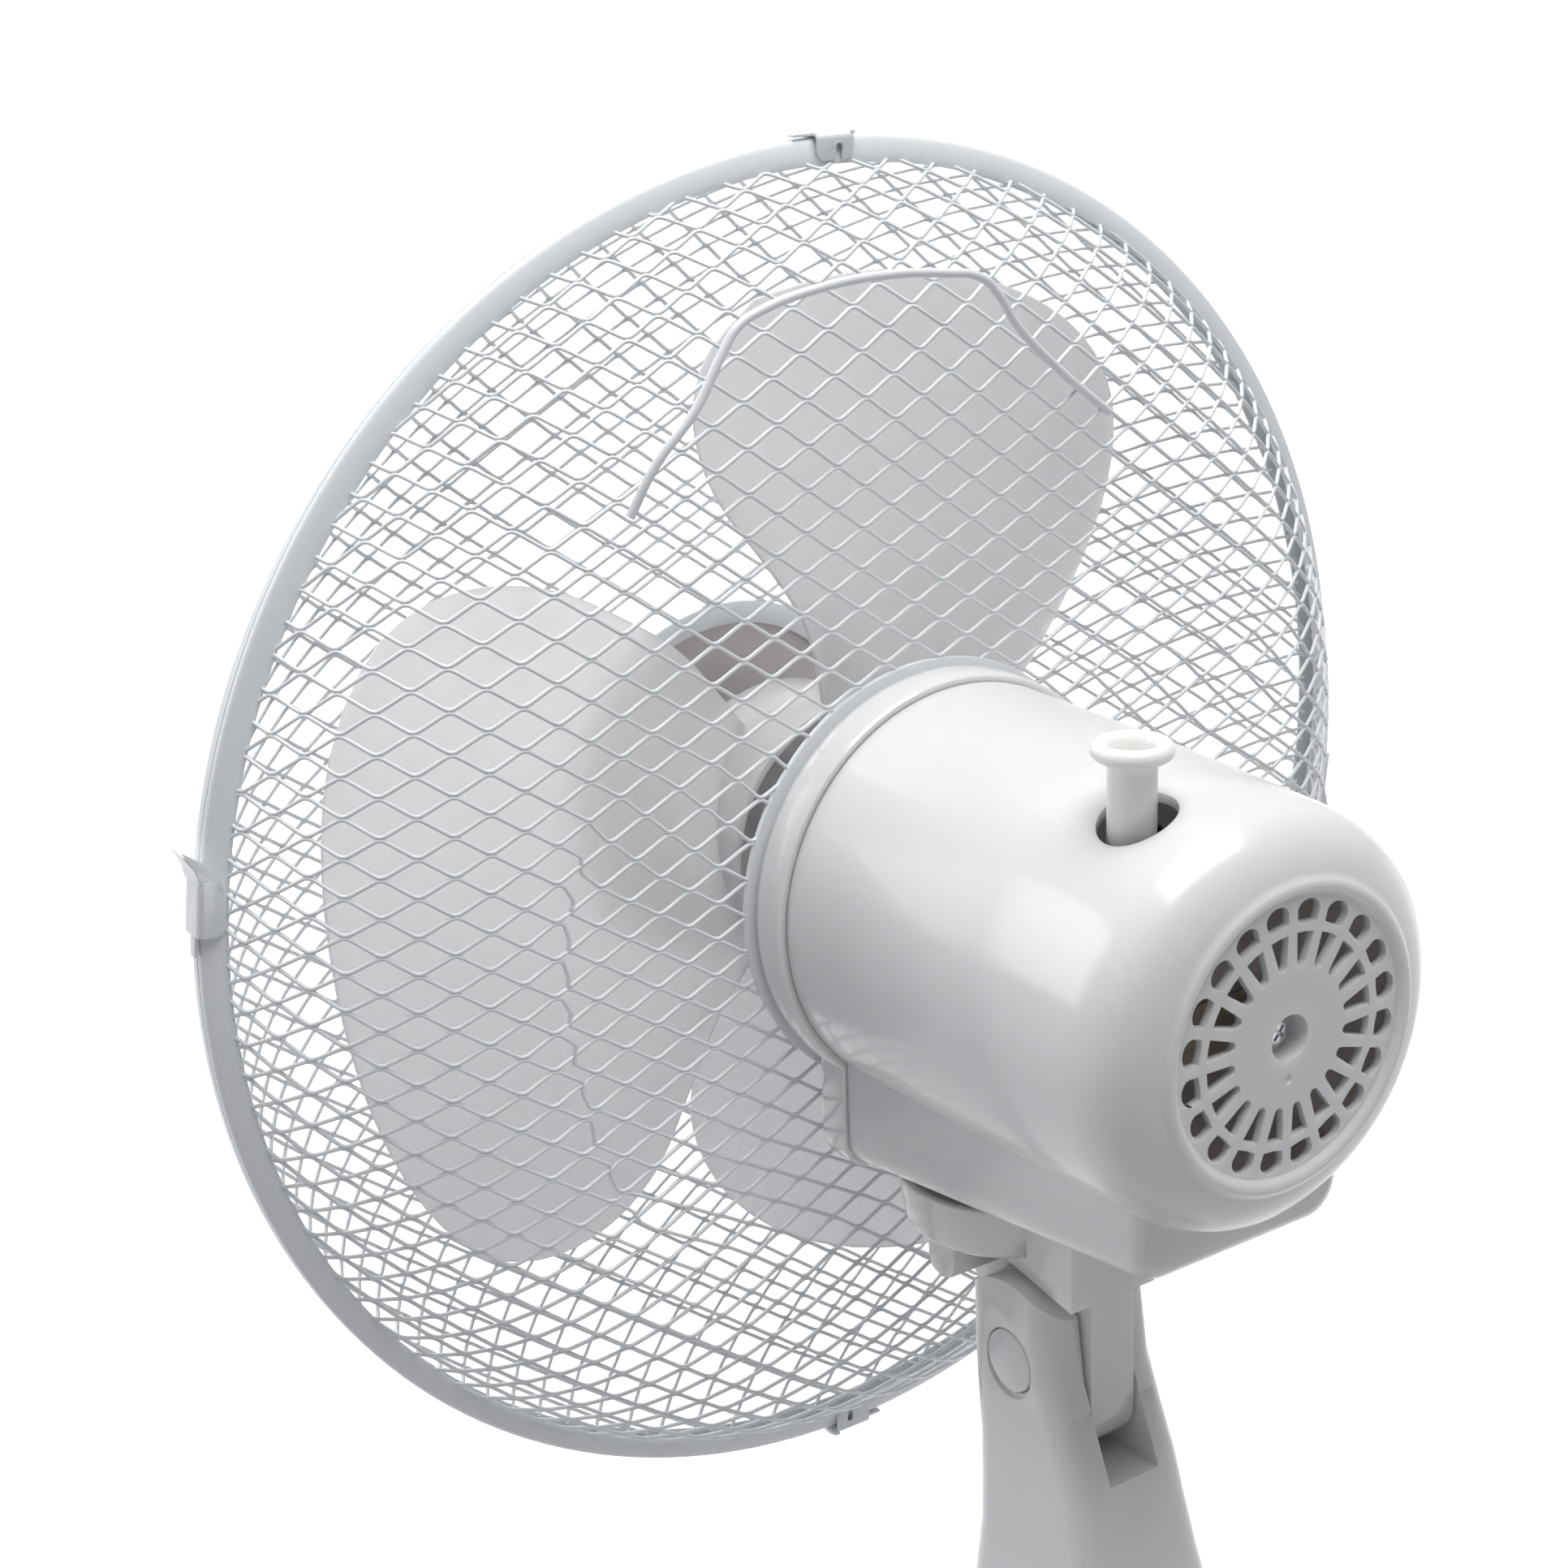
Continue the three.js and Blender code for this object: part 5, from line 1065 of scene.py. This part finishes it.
def column_loop(station, inset):
    """Rounded oblong at one height of the column."""
    z, w, front, back = station
    corner = 8.5 - inset
    x, y0, y1 = w - inset - corner, front + inset + corner, back - inset - corner
    outline = arc(x, y1, corner, 0, 90, 8) + arc(-x, y1, corner, 90, 180, 8)
    outline += arc(-x, y0, corner, 180, 270, 8) + arc(x, y0, corner, 270, 360, 8)
    return [Vector((px * MM, TILT.y + py * MM, z * MM)) for px, py in outline]


def side_drum(r, x0, x1, steps=64, z=0):
    """Cylinder along x about the tilt bolt, or a little over or under it."""
    middle = TILT + Vector(((x0 + x1) / 2, 0, z)) * MM
    return cylinder(r, x1 - x0, middle, steps, (0, math.pi / 2, 0))


def column_side():
    """Side view of the column: shoulders, and cheeks rounded about the tilt bolt."""
    deep, wide, shoulder = -200, 90, -24.5
    outline = [(-wide, deep), (wide, deep), (wide, shoulder), (30, shoulder)]
    outline += arc(0, 0, 21, -25, 205, 48) + [(-24, shoulder), (-wide, shoulder)]
    return plate_across(outline, -80, 80, TILT)


def tongue_slot():
    """Slot between the cheeks, with a floor rounded about the tilt bolt."""
    outline = [(-40, 40), (-40, -4)] + arc(0, 0, 28, -165, -70, 24) + [(26, -25.5), (60, -25.5), (60, 40)]
    return plate_across(outline, -7.6, 7.6, TILT)


def build_column():
    column = skin([column_loop(station, 0) for station in COLUMN_STATIONS])
    carve(column, column_side(), "INTERSECT")
    hollow = [HOLLOW_TOP] + [s for s in COLUMN_STATIONS if s[0] < HOLLOW_TOP[0]] + [HOLLOW_FOOT]
    carve(column, skin([column_loop(station, COLUMN_WALL) for station in hollow]))
    carve(column, tongue_slot())
    for side in (1, -1):
        for r, inner, outer, steps, z in CHEEK_POCKETS:
            carve(column, side_drum(r, *sorted((inner * side, outer * side)), steps, z))
    carve(column, side_drum(3.1, -16, 16, 32))
    carve(column, turned_upright(FOOT_PROFILE, BASE_CENTRE, 96))
    bevel_edges(column, 0.9, 3, 40)
    settle(column, "stand_column", CASING, "base", "column", smooth=40)


def build_pivot_caps():
    for name, side in (("right", 1), ("left", -1)):
        cap = bevel_edges(side_drum(8, *sorted((14.9 * side, 17.1 * side))), 0.6, 3)
        settle(cap, f"cap_{name}", CASING, "base", f"pivot_cap_{name}")


# ---- Base ---------------------------------------------------------------------------------

COVER_PROFILE = [
    (110, 4), (109.6, 9), (108.8, 16), (107.6, 22), (106, 26), (103.4, 29.4), (100, 31.8), (95, 33.8),
    (80, 37.2), (65, 39.8), (40, 42), (20, 42.8), (0, 43),
]

KEY_COUNT, KEY_PITCH, KEY_WIDTH = 4, 16.6, 16
WELL_FRONT, WELL_BACK = -92.6, -67.4

# Side view of a key: a dished finger face, and a skirt that fills the mouth of the well.
KEY_SIDE = [
    (-92, 13), (-90, 13), (-90, 24), (-68, 24), (-68, 39), (-69.4, 40), (-74, 39.7), (-80, 38.2),
    (-86, 35.2), (-88.4, 33.6), (-91, 32.8), (-92, 31),
]

FOOT_ANGLES, FOOT_CIRCLE = (45, 135, 225, 315), 88
FOOT_SIDE = [(0, 0), (7.6, 0), (8.5, 0.4), (9, 1.2), (9, 2.7), (0, 2.7)]


def build_base():
    """Hollow round cover with a well for the row of keys."""
    inside = [(r - 2.5 if r > 50 else r, z - (2.5 if z > 20 else 5)) for r, z in COVER_PROFILE]
    cover = turned_upright([(0, 4)] + COVER_PROFILE, BASE_CENTRE, 160)
    carve(cover, turned_upright([(0, -2)] + inside, BASE_CENTRE, 128))
    half_row = (KEY_PITCH * KEY_COUNT + 0.6) / 2
    well = oblong(-half_row, half_row, WELL_FRONT, WELL_BACK)
    carve(cover, prism([Vector((x, y, 0)) * MM for x, y in well], (0, 0, 60 * MM)))
    bevel_edges(cover, 0.8, 3, 38)
    settle(cover, "base_shell", CASING, "base", "base_cover", smooth=38)


def build_keys():
    for number in range(KEY_COUNT):
        x = (number - (KEY_COUNT - 1) / 2) * KEY_PITCH
        key = plate_across(KEY_SIDE, x - KEY_WIDTH / 2, x + KEY_WIDTH / 2, Vector((0, 0, 0)))
        bevel_edges(key, 0.7, 3, 25)
        settle(key, f"key_cap_{number + 1}", KNOB, f"key_{number + 1}", f"speed_key_{number + 1}")


def build_feet():
    for number, angle in enumerate(FOOT_ANGLES, 1):
        middle = BASE_CENTRE + Vector((*polar(FOOT_CIRCLE, angle), 0)) * MM
        foot = turned_upright(FOOT_SIDE, middle, 32)
        settle(foot, f"rubber_foot_{number}", RUBBER, "base", f"foot_{number}")


set_camera()
light_studio()
dress_cad_nodes()
build_grille()
build_clips()
build_handle()
build_badge()
build_fan()
build_front_cover()
build_rear_cover()
build_lock_nut()
build_rear_screw()
build_knob()
build_neck()
build_column()
build_pivot_caps()
build_base()
build_keys()
build_feet()

bpy.ops.object.select_all(action="DESELECT")
